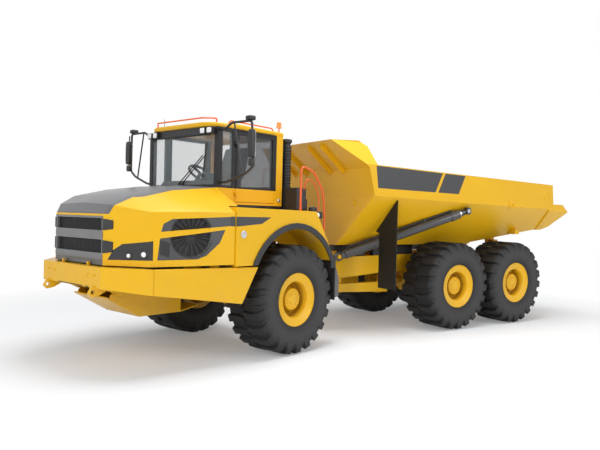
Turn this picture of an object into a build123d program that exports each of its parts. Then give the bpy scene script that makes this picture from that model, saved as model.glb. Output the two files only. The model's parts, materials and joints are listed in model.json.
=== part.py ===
from build123d import *
from math import asin, cos, degrees, radians, sin, sqrt, tan
import os

# Articulated dump truck, in millimetres, +Z up, standing on z = 0.
# The front unit and the rear unit are each drawn straight, with the vertical steering pin
# at x = 0, y = 0, +X forward and +Y to the driver's left. The truck is stored in a left turn,
# with the middle of its footprint at the origin.

# Stance
steer_at_rest = 15
footprint_middle_x = -1130
footprint_middle_y = 318
seat_gap = 0.3
running_clearance = 1

# Wheels and axles
front_axle_x = 1210
wheelbase = 4175
bogie_spacing = 1670
track_width = 2216
tyre_radius = 805
tyre_width = 725
rim_radius = 318
flange_radius = 393
tread_depth = 42
lug_count = 22
lug_width = 88
lug_sweep = 14
lug_inner_y = 16
side_radius = 565
rim_lip = 13
rim_well_radius = 265
hub_radius = 165
hub_face_y = 250
axle_radius = 105
middle_axle_x = front_axle_x - wheelbase
rear_axle_x = middle_axle_x - bogie_spacing
bogie_middle_x = middle_axle_x - bogie_spacing / 2
wheel_y = track_width / 2

# Dump body
body_half_width = 1450
body_front_x = -870
body_front_top_z = 2907
body_rake = 1.25
band_height = 512
floor_half_width = 610
slope_drop = 870
body_plate = 22
band_thickness = 60
tail_x = -6323
tail_rise_x = -3800
floor_front_x = -700
body_floor_z = 1540
headboard_crease = (-745, 2850)
headboard_lip = (-197, 3296)
headboard_rear_top = (-785, 3327)
headboard_half_width = body_half_width - 350
headboard_plate = 25
end_rim_thickness = 32
gusset_places = (-750, -370, 370, 750)
tail_box_x = -5058
tail_box_y = 1025
tail_box_z = 1805
tipping_x = -5175
tipping_z = 1550
tipping_pin_radius = 45
flap_x = -1400
flap_low_z = 800
flap_clearance = 30
flap_outer_y = body_half_width - 20

# Hoist cylinders, from the pin on the rear frame to the pin under the body's side
hoist_base = (-745, 660, 1335)
hoist_eye = (-3165, body_half_width - 25, 2199)
hoist_barrel_radius = 82
hoist_rod_radius = 52
hoist_barrel_length = 2490
hoist_rod_start = 65
hoist_neck = 50
hoist_pin_radius = 38
hoist_ball_clearance = 6
hoist_cheek_gap = 18
hoist_boss_gap = 25
hoist_eye_width = 70
hoist_eye_radius = 76

# Rear frame
rail_y = 430
rail_width = 130
rail_top_z = 1330
rail_bottom_z = 1000
tail_lamp_y = 180
lower_rail_top_z = 830
lower_rail_bottom_z = 640
rail_front_x = -620
rail_rear_x = -5350
bogie_beam_inner_y = 535
bogie_beam_outer_y = 640
bogie_pivot_z = 1015
bogie_pivot_radius = 60

# Hitch between the units
hitch_z = 900
hitch_ear_gap = 300
hitch_ear_thickness = 60
hitch_pin_radius = 55
hitch_tube_radius = 135
hitch_tube_end_x = -1090
hitch_flange_x = -480
steer_arm = 300
steer_arm_thickness = 50
steer_anchor_x = 960
steer_anchor_y = 330
steer_barrel_radius = 62
steer_rod_radius = 34
steer_eye_radius = 55
steer_barrel_length = 600
steer_rod_length = 630
steer_pin_radius = 24
fork_gap = 5

# Front frame, bumper and skirts
frame_y = 470
frame_width = 90
frame_top_z = 1210
frame_bottom_z = 930
frame_arch_z = 970
bumper_x = 3974
bumper_half_width = 707
bumper_top_z = 1355
bumper_bottom_z = 1095
bumper_depth = 260
wing_length = 414
bumper_seam_x = bumper_x - wing_length
seam_half_width = 1200
seam_bottom_z = 1030
skirt_half_width = 1400
skirt_rear_x = 1985
skirt_rear_bottom = (2243, 830)
skirt_wall = 40
panel_gap = 8
belly_half_width = 400
belly_low_z = 640
tow_eye_y = 560
tow_eye_radius = 28

# Hood
hood_front_x = 3872
hood_rear_x = 2265
hood_side_rear_x = 2415
hood_bottom_z = bumper_top_z + 15
hood_wall = 35
hood_hinge_x = 3902
hood_hinge_z = 1388
hood_hinge_y = 265
hood_hinge_width = 30
hood_hinge_radius = 16
hood_pin_radius = 9
grille_half_width = 575
grille_bottom_z = 1424
grille_top_z = 1975
grille_depth = 60
grille_bar_count = 7
louvre_edge = 28
louvre_low_z = 1500
louvre_pitch = 34
louvre_count = 14

# Fenders
arch_radius = 935
arch_flats = 40
arch_centre_z = 948
lip_width = 85
lip_thickness = 25
fender_half_width = skirt_half_width
fender_inner_y = 830
fender_top_z = 2130
fender_rear_x = 760
lip_end_z = 1345
rear_flap_z = 720
handrail_y = 1190
step_reach = 150
step_heights = (760, 1030)

# Cab
cab_half_width = 800
cab_rear_x = 905
cab_front_x = 2245
cab_floor_z = 2150
cab_wall = 60
cab_sill_z = 2415
cab_glass_top_z = 3240
cab_roof_bottom_z = 3262
roof_thickness = 70
door_rear_x = 1080
door_front_x = 1900
glass_thickness = 14
glass_recess = 10
door_gap = 6
door_hinge_x = door_front_x - door_gap / 2
door_hinge_y = cab_half_width + 20
door_hinge_radius = 14
door_pin_radius = 8
door_hinge_heights = (2300, 3000)
door_hinge_length = 40
rail_tube_radius = 17

# Engine
engine_low = (2480, -400, 1180)
engine_high = (3560, 400, 1960)


def side_outline(points, low_y, high_y, mode=Mode.ADD):
    # a closed outline of (x, z) points as a plate from low_y to high_y
    with BuildSketch(Plane.XZ.offset(-high_y)) as outline:
        Polygon(*points, align=None)
    extrude(outline.sketch, amount=high_y - low_y, mode=mode)


def cross_outline(points, low_x, high_x, mode=Mode.ADD):
    # a closed outline of (y, z) points as a plate from low_x to high_x
    with BuildSketch(Plane.YZ.offset(low_x)) as outline:
        Polygon(*points, align=None)
    extrude(outline.sketch, amount=high_x - low_x, mode=mode)


def plan_outline(points, low_z, high_z, mode=Mode.ADD):
    # a closed outline of (x, y) points as a plate from low_z to high_z
    with BuildSketch(Plane.XY.offset(low_z)) as outline:
        Polygon(*points, align=None)
    extrude(outline.sketch, amount=high_z - low_z, mode=mode)


def block(low, high, mode=Mode.ADD):
    # a square-cornered block between two opposite corners
    side_outline([(low[0], low[2]), (high[0], low[2]), (high[0], high[2]), (low[0], high[2])],
                 low[1], high[1], mode)


def bar(start, end, radius, mode=Mode.ADD, flats=12):
    # a bar between two points with a number of flats, or round if there are none
    run = Vector(*end) - Vector(*start)
    with BuildSketch(Plane(origin=start, z_dir=run)) as section:
        if flats:
            RegularPolygon(radius, flats)
        else:
            Circle(radius)
    extrude(section.sketch, amount=run.length, mode=mode)


def along(start, end, distance):
    # the point at a distance from start on the way to end
    share = distance / (Vector(*end) - Vector(*start)).length
    return tuple(a + (b - a) * share for a, b in zip(start, end))


def pipe(points, bend, radius):
    # an eight-sided tube through the points, each corner cut at a distance from its point
    stops = [points[0]]
    for before, corner, after in zip(points, points[1:], points[2:]):
        stops += [along(corner, before, bend), along(corner, after, bend)]
    stops.append(points[-1])
    with BuildLine() as route:
        Polyline(*stops)
    with BuildSketch(Plane(origin=route.line @ 0, z_dir=route.line % 0)) as section:
        RegularPolygon(radius, 8)
    sweep(section.sketch, path=route.line, transition=Transition.RIGHT)


def panelled(rings, folded=False, mode=Mode.ADD):
    # a closed form with flat panels between rings of corner points, each panel folded along a diagonal if asked
    faces = [Face(Wire.make_polygon(rings[0])), Face(Wire.make_polygon(rings[-1]))]
    for near, far in zip(rings, rings[1:]):
        for index in range(len(near)):
            after = (index + 1) % len(near)
            if folded:
                faces.append(Face(Wire.make_polygon((near[index], near[after], far[index]))))
                faces.append(Face(Wire.make_polygon((near[after], far[after], far[index]))))
            else:
                faces.append(Face(Wire.make_polygon((near[index], near[after], far[after], far[index]))))
    add(Solid(Shell(faces)), mode=mode)


def flat_rings(stations, centre, flats, mode=Mode.ADD, toward=(0, 1, 0)):
    # flat-sided rings about an axis, through (distance along the axis, radius) stations
    rings = []
    for distance, radius in stations:
        origin = Vector(*centre) + Vector(*toward) * distance
        level = Plane(origin=origin, x_dir=(0, 0, 1), z_dir=toward)
        turns = [radians(180 / flats + index * 360 / flats) for index in range(flats)]
        rings.append([level.from_local_coords((radius * cos(turn), radius * sin(turn), 0)) for turn in turns])
    panelled(rings, mode=mode)


def turned(point, angle, centre=(0, 0)):
    # a point turned about a vertical axis
    x, y = point[0] - centre[0], point[1] - centre[1]
    c, s = cos(radians(angle)), sin(radians(angle))
    return (centre[0] + c * x - s * y, centre[1] + s * x + c * y, point[2])


rear_place = Location((-footprint_middle_x, -footprint_middle_y, 0))
front_place = Location((-footprint_middle_x, -footprint_middle_y, 0), (0, 0, steer_at_rest))
sides = (("left", 1), ("right", -1))
os.makedirs("parts", exist_ok=True)


def save_rear(piece, name):
    placed = piece.moved(rear_place)
    placed.label = name
    export_step(placed, f"parts/{name}.step")


def save_front(piece, name):
    placed = piece.moved(front_place)
    placed.label = name
    export_step(placed, f"parts/{name}.step")


def save_pair(piece, name, save):
    # a piece drawn on the left, and the same mirrored for the right
    save(piece, f"{name}_left")
    save(piece.mirror(Plane.XZ), f"{name}_right")


# Tyre about its own centre, axle along Y, outer side towards +Y. Each flat of the ring carries one lug
# on each shoulder, the two half a pitch apart.
half_tyre = tyre_width / 2
half_pitch = radians(180 / lug_count)
groove_radius = tyre_radius - tread_depth
groove_flat_z = groove_radius * cos(half_pitch)
bore_radius = rim_radius / cos(half_pitch)
bead_y = half_tyre - 95
shoulder_y = half_tyre - 60
shoulder_lean = (half_tyre - shoulder_y) / (groove_radius - side_radius) / cos(half_pitch)
lug_reach = tyre_radius * sin(half_pitch) - 8
lug_top_z = sqrt(tyre_radius ** 2 - lug_reach ** 2)
lug_root_z = groove_flat_z - 60
wheel_centre = (0, 0, 0)
end_y = shoulder_y - (lug_top_z - groove_flat_z) * shoulder_lean
with BuildPart() as lug_pair:
    for side in (1, -1):
        plan_outline([(side * lug_reach, side * half_tyre), (side * (lug_reach - lug_width), side * half_tyre),
                      (side * (lug_reach - lug_width - lug_sweep), 0), (side * (lug_reach - lug_sweep), 0)],
                     lug_root_z, lug_top_z)
    cross_outline([(-end_y, lug_top_z), (end_y, lug_top_z), (shoulder_y, groove_flat_z), (shoulder_y - 20, lug_root_z),
                   (-shoulder_y + 20, lug_root_z), (-shoulder_y, groove_flat_z)],
                  -lug_reach - 1, lug_reach + 1, mode=Mode.INTERSECT)
    block((-lug_reach - 1, -lug_inner_y, lug_root_z - 1), (lug_reach + 1, lug_inner_y, lug_top_z + 1), mode=Mode.SUBTRACT)
with BuildPart() as tyre:
    flat_rings([(-half_tyre, side_radius), (-shoulder_y, groove_radius), (shoulder_y, groove_radius),
                (half_tyre, side_radius)], wheel_centre, lug_count)
    flat_rings([(-half_tyre - 1, side_radius), (-half_tyre, side_radius), (-bead_y, bore_radius), (bead_y, bore_radius),
                (half_tyre, side_radius), (half_tyre + 1, side_radius)], wheel_centre, lug_count, mode=Mode.SUBTRACT)
    for index in range(lug_count):
        add(lug_pair.part.rotate(Axis.Y, index * 360 / lug_count))
# each wheel stands on the corner of a lug
corner_turn = degrees(asin(lug_reach / tyre_radius))
standing_tyre = tyre.part.rotate(Axis.Y, corner_turn)

# Rim with its planetary hub, about the same centre, its flats against the tyre's
seat_radius = (rim_radius - seat_gap) / cos(half_pitch)
lip_y = half_tyre - 30
hub_seat_y = 60
web_y = 115
with BuildPart() as rim:
    flat_rings([(-lip_y, flange_radius), (-bead_y - 28, flange_radius), (-bead_y - 3, seat_radius),
               (bead_y + 3, seat_radius), (bead_y + 28, flange_radius), (lip_y, flange_radius)],
              wheel_centre, lug_count)
    flat_rings([(lip_y, flange_radius - rim_lip), (lip_y - 34, rim_well_radius), (web_y, rim_well_radius - 12)],
              wheel_centre, lug_count, mode=Mode.SUBTRACT)
    flat_rings([(-lip_y, rim_radius - 22), (hub_seat_y, rim_radius - 50)], wheel_centre, lug_count, mode=Mode.SUBTRACT)
    flat_rings([(web_y - 5, hub_radius + 12), (hub_face_y - 22, hub_radius), (hub_face_y, hub_radius - 26)],
              wheel_centre, lug_count)
standing_rim = rim.part.rotate(Axis.Y, corner_turn)

wheel_rows = (("front", front_axle_x, save_front), ("middle", middle_axle_x, save_rear),
              ("rear", rear_axle_x, save_rear))
for row_name, axle_x, save in wheel_rows:
    for side_name, side in sides:
        stand = Location((axle_x, side * wheel_y, tyre_radius), (0, 0, 90 - 90 * side))
        save(standing_tyre.moved(stand), f"tyre_{row_name}_{side_name}")
        save(standing_rim.moved(stand), f"rim_{row_name}_{side_name}")

# Axle housings with a bulged differential, a nose for the shaft and the wheel-end drums
axle_end_y = wheel_y + hub_seat_y - seat_gap
axle_nose = 290
drum_radius = 190
for row_name, axle_x, save in wheel_rows:
    axle_middle = (axle_x, 0, tyre_radius)
    with BuildPart() as axle:
        bar((axle_x, -axle_end_y + 230, tyre_radius), (axle_x, axle_end_y - 230, tyre_radius), axle_radius)
        for side in (1, -1):
            bar((axle_x, side * (axle_end_y - 230), tyre_radius), (axle_x, side * (axle_end_y - 15), tyre_radius),
                drum_radius)
            bar((axle_x, side * (axle_end_y - 15), tyre_radius), (axle_x, side * axle_end_y, tyre_radius),
                axle_radius, flats=0)
        flat_rings([(-155, 130), (-70, 235), (70, 235), (155, 130)], axle_middle, 12, toward=(1, 0, 0))
        bar((axle_x - axle_nose, 0, tyre_radius), (axle_x + axle_nose, 0, tyre_radius), 95)
        if row_name == "front":
            # seats under the front frame's rails
            for side in (1, -1):
                low_y, high_y = sorted((side * (frame_y - frame_width / 2), side * (frame_y + frame_width / 2)))
                block((axle_x - 90, low_y, tyre_radius), (axle_x + 90, high_y, frame_arch_z - seat_gap))
    save(axle.part, f"axle_{row_name}")

# Rear frame: two deep rails with a lower pair, cross members, tipping brackets and the hitch nose
with BuildPart() as rear_frame:
    inner_y, outer_y = rail_y - rail_width / 2, rail_y + rail_width / 2
    side_outline([(rail_front_x, rail_top_z - 20), (rail_front_x, rail_bottom_z - 85),
                  (middle_axle_x + 900, rail_bottom_z + 20), (rail_rear_x, rail_bottom_z + 60),
                  (rail_rear_x, rail_top_z + 60), (tipping_x + 260, rail_top_z + 60),
                  (middle_axle_x + 300, rail_top_z)], inner_y, outer_y)
    side_outline([(rail_front_x, lower_rail_top_z), (rail_front_x, lower_rail_bottom_z + 60),
                  (middle_axle_x + 900, lower_rail_bottom_z), (middle_axle_x + 900, rail_bottom_z + 30),
                  (middle_axle_x + 1000, rail_bottom_z + 30), (middle_axle_x + 1060, lower_rail_top_z)],
                 inner_y, outer_y)
    block((rail_front_x - 100, inner_y, lower_rail_top_z - 10), (rail_front_x, outer_y, rail_bottom_z - 50))
    side_outline([(tipping_x - 110, rail_top_z), (tipping_x + 160, rail_top_z),
                  (tipping_x + 70, tipping_z + 70), (tipping_x - 70, tipping_z + 70)], inner_y, outer_y)
    bar((bogie_middle_x, inner_y, bogie_pivot_z), (bogie_middle_x, bogie_beam_outer_y, bogie_pivot_z),
        bogie_pivot_radius)
    side_outline([(bogie_middle_x - 130, bogie_pivot_z - 90), (bogie_middle_x + 130, bogie_pivot_z - 90),
                  (bogie_middle_x + 200, rail_bottom_z + 60), (bogie_middle_x - 200, rail_bottom_z + 60)],
                 inner_y, outer_y)
    pin_x, pin_y, pin_z = hoist_base
    block((pin_x - 90, inner_y, rail_top_z - 80), (pin_x + 90, outer_y, pin_z + 90))
    bar((pin_x, inner_y, pin_z), (pin_x, pin_y + hoist_eye_width / 2 + 20, pin_z), hoist_pin_radius)
    # crowned, so that the barrel's eye can tilt on it
    crown_radius = hoist_pin_radius + hoist_ball_clearance - seat_gap
    flat_rings([(-hoist_eye_width / 2, hoist_pin_radius), (-4, crown_radius), (4, crown_radius),
                (hoist_eye_width / 2, hoist_pin_radius)], hoist_base, 12)
    bar((pin_x, inner_y, pin_z), (pin_x, pin_y - hoist_eye_width / 2 - hoist_boss_gap, pin_z), hoist_eye_radius - 16)
    mirror(about=Plane.XZ)
    for cross_x in (rail_front_x - 700, middle_axle_x + 640, middle_axle_x - 760, rail_rear_x):
        block((cross_x, -rail_y, rail_bottom_z + 60), (cross_x + 140, rail_y, rail_top_z - 40))
    block((hitch_tube_end_x + 80, -rail_y, hitch_z - 230), (hitch_flange_x - 10, rail_y, hitch_z + 230))
    bar((hitch_tube_end_x - 60, 0, hitch_z), (hitch_flange_x + 10, 0, hitch_z),
        hitch_tube_radius + running_clearance, mode=Mode.SUBTRACT, flats=0)
    bar((tipping_x, -rail_y - rail_width, tipping_z), (tipping_x, rail_y + rail_width, tipping_z),
        tipping_pin_radius + running_clearance, mode=Mode.SUBTRACT, flats=0)
save_rear(rear_frame.part, "rear_frame")

# Tail lamps on the frame's last cross member
with BuildPart() as tail_lamps:
    block((rail_rear_x - 40, tail_lamp_y, rail_bottom_z + 110), (rail_rear_x - seat_gap, rail_y - 80, rail_bottom_z + 200))
    mirror(about=Plane.XZ)
save_rear(tail_lamps.part, "tail_lamps")

# Bogie beams that carry the two rear axles
with BuildPart() as bogie_beams:
    beam_seat_z = tyre_radius + axle_radius + 2 * seat_gap
    side_outline([(middle_axle_x + 140, beam_seat_z), (middle_axle_x + 140, beam_seat_z + 90),
                  (bogie_middle_x + 150, bogie_pivot_z + 120), (bogie_middle_x - 150, bogie_pivot_z + 120),
                  (rear_axle_x - 140, beam_seat_z + 90), (rear_axle_x - 140, beam_seat_z),
                  (bogie_middle_x - 150, bogie_pivot_z - 170), (bogie_middle_x + 150, bogie_pivot_z - 170)],
                 bogie_beam_inner_y, bogie_beam_outer_y - 10)
    for axle_x in (middle_axle_x, rear_axle_x):
        bar((axle_x, 0, tyre_radius), (axle_x, 900, tyre_radius), axle_radius + 2 * seat_gap, mode=Mode.SUBTRACT)
    bar((bogie_middle_x, 0, bogie_pivot_z), (bogie_middle_x, 900, bogie_pivot_z),
        bogie_pivot_radius + 2 * seat_gap, mode=Mode.SUBTRACT)
    mirror(about=Plane.XZ)
save_rear(bogie_beams.part, "bogie_beams")

# Propeller shaft between the rear axles
with BuildPart() as rear_shaft:
    bar((middle_axle_x - axle_nose - seat_gap, 0, tyre_radius), (rear_axle_x + axle_nose + seat_gap, 0, tyre_radius), 55)
save_rear(rear_shaft.part, "propeller_shaft")

# Hitch: a block between the front frame's ears, steering arms and the round tube that rolls in the rear frame
hitch_half_height = hitch_ear_gap / 2
with BuildPart() as hitch:
    bar((0, 0, hitch_z - hitch_half_height + 5), (0, 0, hitch_z + hitch_half_height - 5), 130, flats=16)
    bar((hitch_tube_end_x, 0, hitch_z), (-60, 0, hitch_z), hitch_tube_radius, flats=0)
    bar((hitch_flange_x, 0, hitch_z), (hitch_flange_x + 90, 0, hitch_z), 215, flats=16)
    bar((hitch_tube_end_x, 0, hitch_z), (hitch_tube_end_x + 60, 0, hitch_z), 200, flats=16)
    plan_outline([(-130, -100), (-40, -steer_arm - 30), (0, -steer_arm - 50), (45, -steer_arm - 20), (60, -steer_arm + 60),
                  (60, steer_arm - 60), (45, steer_arm + 20), (0, steer_arm + 50), (-40, steer_arm + 30), (-130, 100)],
                 hitch_z - steer_arm_thickness / 2, hitch_z + steer_arm_thickness / 2)
    bar((0, 0, hitch_z - hitch_ear_gap), (0, 0, hitch_z + hitch_ear_gap),
        hitch_pin_radius + running_clearance, mode=Mode.SUBTRACT, flats=0)
save_rear(hitch.part, "hitch")

# Front frame: rails, the two hitch ears with their pin, steering anchors and cross members
frame_front_x = bumper_x - bumper_depth - seat_gap
frame_inner_y, frame_outer_y = frame_y - frame_width / 2, frame_y + frame_width / 2
upper_ear_z = hitch_z + hitch_ear_gap / 2
lower_ear_z = hitch_z - hitch_ear_gap / 2 - hitch_ear_thickness
with BuildPart() as front_frame:
    side_outline([(450, lower_ear_z), (450, frame_top_z), (frame_front_x, frame_top_z),
                  (frame_front_x, frame_bottom_z + 100), (3500, frame_bottom_z), (1900, frame_bottom_z),
                  (1500, frame_arch_z), (950, frame_arch_z), (800, lower_ear_z)],
                 frame_inner_y, frame_outer_y)
    for low_z in (hitch_z - steer_eye_radius - 45, hitch_z + 50 + fork_gap):
        block((steer_anchor_x - 50, steer_anchor_y - 50, low_z), (steer_anchor_x + 50, frame_inner_y + 5, low_z + 45))
    bar((steer_anchor_x, steer_anchor_y, hitch_z - steer_eye_radius - 20),
        (steer_anchor_x, steer_anchor_y, hitch_z + 80), steer_pin_radius)
    block((steer_anchor_x - 50, frame_inner_y, hitch_z - steer_eye_radius - 45),
          (steer_anchor_x + 50, frame_outer_y, frame_bottom_z + 60))
    mirror(about=Plane.XZ)
    for ear_z in (upper_ear_z, lower_ear_z):
        with BuildSketch(Plane.XY.offset(ear_z)) as ear:
            RegularPolygon(145, 16)
            Polygon((30, -140), (600, -frame_outer_y), (600, frame_outer_y), (30, 140), align=None)
        extrude(ear.sketch, amount=hitch_ear_thickness)
    bar((0, 0, lower_ear_z + hitch_ear_thickness - 5), (0, 0, upper_ear_z + 5), hitch_pin_radius, flats=0)
    for cross_x in (1480, frame_front_x - 120):
        block((cross_x, -frame_y, frame_bottom_z + 110), (cross_x + 120, frame_y, frame_top_z - 40))
save_front(front_frame.part, "front_frame")

# Front propeller shaft from the gearbox to the front axle, and the gearbox block above it
with BuildPart() as gearbox:
    block((1560, -300, 1260), (2300, 300, 1900))
    block((1650, -frame_outer_y, frame_top_z + seat_gap), (1750, frame_outer_y, 1262))
save_front(gearbox.part, "gearbox_block")

# Steering cylinders, drawn as they lie in the stored turn
for side_name, side in sides:
    anchor = (steer_anchor_x, side * steer_anchor_y, hitch_z)
    eye = turned((0, side * steer_arm, hitch_z), -steer_at_rest)
    with BuildPart() as steer_barrel:
        bar(along(anchor, eye, 30), along(anchor, eye, 90), 42)
        bar(along(anchor, eye, 75), along(anchor, eye, steer_barrel_length), steer_barrel_radius)
        bar((anchor[0], anchor[1], hitch_z - 50), (anchor[0], anchor[1], hitch_z + 50), steer_eye_radius)
        bar(along(anchor, eye, 90), along(anchor, eye, steer_barrel_length + 10),
            steer_rod_radius + running_clearance, mode=Mode.SUBTRACT)
        bar((anchor[0], anchor[1], hitch_z - 60), (anchor[0], anchor[1], hitch_z + 60),
            steer_pin_radius + running_clearance, mode=Mode.SUBTRACT, flats=0)
    save_front(steer_barrel.part, f"steering_barrel_{side_name}")
    fork_low = steer_arm_thickness / 2 + fork_gap
    fork_high = fork_low + 45
    with BuildPart() as steer_rod:
        bar(along(eye, anchor, steer_rod_length), along(eye, anchor, 95), steer_rod_radius)
        fork = Plane(origin=along(eye, anchor, 85), z_dir=Vector(*anchor) - Vector(*eye), x_dir=(0, 0, 1))
        with BuildSketch(fork) as fork_web:
            Rectangle(2 * fork_high, 80)
        extrude(fork_web.sketch, amount=25)
        for ear_side in (1, -1):
            low, high = sorted((ear_side * fork_low, ear_side * fork_high))
            bar((eye[0], eye[1], hitch_z + low), (eye[0], eye[1], hitch_z + high), steer_eye_radius)
            with BuildSketch(fork) as fork_ear:
                with Locations(((low + high) / 2, 0)):
                    Rectangle(high - low, 80)
            extrude(fork_ear.sketch, amount=-85)
    save_front(steer_rod.part, f"steering_rod_{side_name}")

# Bumper and side skirts: one plan outline, cut at the seams
outer_plan = [(skirt_rear_x, skirt_half_width), (bumper_seam_x, seam_half_width), (bumper_x, bumper_half_width),
              (bumper_x, -bumper_half_width), (bumper_seam_x, -seam_half_width), (skirt_rear_x, -skirt_half_width)]
skirt_profile = [(skirt_rear_x, bumper_top_z - 35), (bumper_x + 1, bumper_top_z), (bumper_x + 1, bumper_bottom_z),
                 (bumper_seam_x, seam_bottom_z), skirt_rear_bottom]
bumper_back_x = bumper_x - bumper_depth
with BuildPart() as bumper:
    plan_outline(outer_plan, belly_low_z, bumper_top_z + 100)
    plan_outline([(skirt_rear_x, skirt_half_width - skirt_wall), (bumper_seam_x - 15, seam_half_width - skirt_wall),
                  (bumper_back_x, bumper_half_width + 170), (bumper_back_x, -bumper_half_width - 170),
                  (bumper_seam_x - 15, -seam_half_width + skirt_wall), (skirt_rear_x, -skirt_half_width + skirt_wall)],
                 belly_low_z, bumper_top_z - skirt_wall, mode=Mode.SUBTRACT)
    plan_outline([(skirt_rear_x, 1100), (bumper_seam_x, 1040), (bumper_back_x, 700), (bumper_back_x, -700),
                  (bumper_seam_x, -1040), (skirt_rear_x, -1100)], belly_low_z, bumper_top_z + 200, mode=Mode.SUBTRACT)
    side_outline(skirt_profile, -skirt_half_width - 10, skirt_half_width + 10, mode=Mode.INTERSECT)
    block((skirt_rear_x - 100, -2000, 0), (bumper_seam_x, 2000, 2000), mode=Mode.SUBTRACT)
    for side in (1, -1):
        side_outline([(bumper_x - 180, 1060), (bumper_x - 60, 1000), (bumper_x + 30, 985), (bumper_x + 75, 1030),
                      (bumper_x + 30, 1110), (bumper_x - 60, 1150), (bumper_x - 180, 1150)],
                     side * tow_eye_y - 25, side * tow_eye_y + 25)
        bar((bumper_x + 20, side * tow_eye_y - 40, 1045), (bumper_x + 20, side * tow_eye_y + 40, 1045), tow_eye_radius,
            mode=Mode.SUBTRACT, flats=0)
        # hood hinge ear with its pin
        ear_low = hood_hinge_y + hood_hinge_width / 2 + panel_gap
        low_y, high_y = sorted((side * ear_low, side * (ear_low + hood_hinge_width)))
        block((hood_hinge_x - hood_hinge_radius, low_y, bumper_top_z - 10),
              (hood_hinge_x + hood_hinge_radius, high_y, hood_hinge_z + hood_hinge_radius))
        low_y, high_y = sorted((side * (hood_hinge_y - hood_hinge_width / 2 - panel_gap), side * (ear_low + 5)))
        bar((hood_hinge_x, low_y, hood_hinge_z), (hood_hinge_x, high_y, hood_hinge_z), hood_pin_radius)
save_front(bumper.part, "bumper")

skirt_lean = (skirt_half_width - seam_half_width) / (bumper_seam_x - skirt_rear_x)
with BuildPart() as skirts:
    plan_outline([(skirt_rear_x, skirt_half_width), (bumper_seam_x - panel_gap, seam_half_width + skirt_lean * panel_gap),
                  (bumper_seam_x - panel_gap, seam_half_width + skirt_lean * panel_gap - skirt_wall),
                  (skirt_rear_x, skirt_half_width - skirt_wall)], belly_low_z, bumper_top_z + 100)
    side_outline(skirt_profile, 0, skirt_half_width + 10, mode=Mode.INTERSECT)
    for bracket_x in (2500, 3150):
        skirt_inner_y = skirt_half_width - skirt_lean * (bracket_x + 30 - skirt_rear_x) - skirt_wall
        block((bracket_x, frame_outer_y + seat_gap, 1130), (bracket_x + 60, skirt_inner_y + 10, 1200))
    mirror(about=Plane.XZ)
save_front(skirts.part, "skirts")

# Belly plate below the engine, folded up at its sides
with BuildPart() as belly_plate:
    side_outline([(3700, 925), (3200, belly_low_z), (2500, belly_low_z), (2200, belly_low_z + 60),
                  (2200, belly_low_z + 76), (2500, belly_low_z + 16), (3190, belly_low_z + 16), (3690, 943)],
                 -belly_half_width, belly_half_width)
    for low_y in (-belly_half_width, belly_half_width - 20):
        side_outline([(3650, 920), (3200, belly_low_z + 5), (2520, belly_low_z + 5), (2520, 1080), (3500, 1080),
                      (3640, 960)], low_y, low_y + 20)
    for low_y in (-frame_inner_y + seat_gap, belly_half_width - 20):
        block((2700, low_y, 1000), (2800, low_y + frame_inner_y - belly_half_width + 20 - seat_gap, 1060))
save_front(belly_plate.part, "belly_plate")

# Hood sections. Columns: x, half width, shoulder height, half width of the top panel, its edge height, centre height
hood_sections = [
    (hood_front_x, 590, 1985, 560, 2012, 2030),
    (3800, 690, 2030, 610, 2118, 2140),
    (bumper_seam_x, seam_half_width - 90, 2040, 690, 2235, 2262),
    (3000, fender_half_width - 125, 2055, 780, 2350, 2385),
    (hood_rear_x, fender_half_width, 2060, 815, 2405, 2445),
]


def half_hood(inset, bottom_z, front_shift, rear_shift, mode=Mode.ADD):
    # the left half of the hood's outer form, or of the space inside it when inset by the wall
    rings = []
    for index, (x, width, shoulder_z, top_width, edge_z, centre_z) in enumerate(hood_sections):
        shift = {0: front_shift, len(hood_sections) - 1: rear_shift}.get(index, 0)
        outline = [(0, bottom_z), (width - inset, bottom_z), (width - inset, shoulder_z - inset),
                   (top_width - inset, edge_z - inset), (0, centre_z - inset)]
        rings.append([(x + shift, y, z) for y, z in outline])
    panelled(rings, folded=True, mode=mode)


# Openings in the hood's side, as (x, z) outlines: upper vent, lower vent, headlamp
upper_vent = [(3430, 1800), (3400, 1900), (3290, 1960), (hood_side_rear_x + 60, 2000), (hood_side_rear_x + 60, 1880)]
lower_vent = [(3470, 1450), (3440, 1720), (2560, 1830), (2640, 1660), (2830, 1500), (2960, 1455)]
headlamp_outline = [(3840, 1440), (3800, 1560), (3740, 1640), (3520, 1690), (3520, 1450)]
with BuildPart() as hood_skin:
    half_hood(0, hood_bottom_z, 0, 0)
    half_hood(hood_wall, hood_bottom_z - 50, -hood_wall, -20, mode=Mode.SUBTRACT)
    block((hood_rear_x - 10, fender_inner_y, 1000), (hood_side_rear_x, 1500, fender_top_z + 15), mode=Mode.SUBTRACT)
    mirror(about=Plane.XZ)
with BuildPart() as hood:
    add(hood_skin.part)
    block((hood_front_x - 200, -grille_half_width, grille_bottom_z),
          (hood_front_x + 20, grille_half_width, grille_top_z), mode=Mode.SUBTRACT)
    for opening in (upper_vent, lower_vent, headlamp_outline):
        side_outline(opening, -1500, -600, mode=Mode.SUBTRACT)
        side_outline(opening, 600, 1500, mode=Mode.SUBTRACT)
    for side in (1, -1):
        # hinge lug on the nose, below the grille
        low_y, high_y = side * hood_hinge_y - hood_hinge_width / 2, side * hood_hinge_y + hood_hinge_width / 2
        block((hood_front_x - hood_wall, low_y, hood_hinge_z - hood_hinge_radius),
              (hood_hinge_x, high_y, hood_hinge_z + hood_hinge_radius))
        bar((hood_hinge_x, low_y, hood_hinge_z), (hood_hinge_x, high_y, hood_hinge_z), hood_hinge_radius)
        bar((hood_hinge_x, low_y - 1, hood_hinge_z), (hood_hinge_x, high_y + 1, hood_hinge_z),
            hood_pin_radius + seat_gap, mode=Mode.SUBTRACT, flats=0)
save_front(hood.part, "hood")
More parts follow.
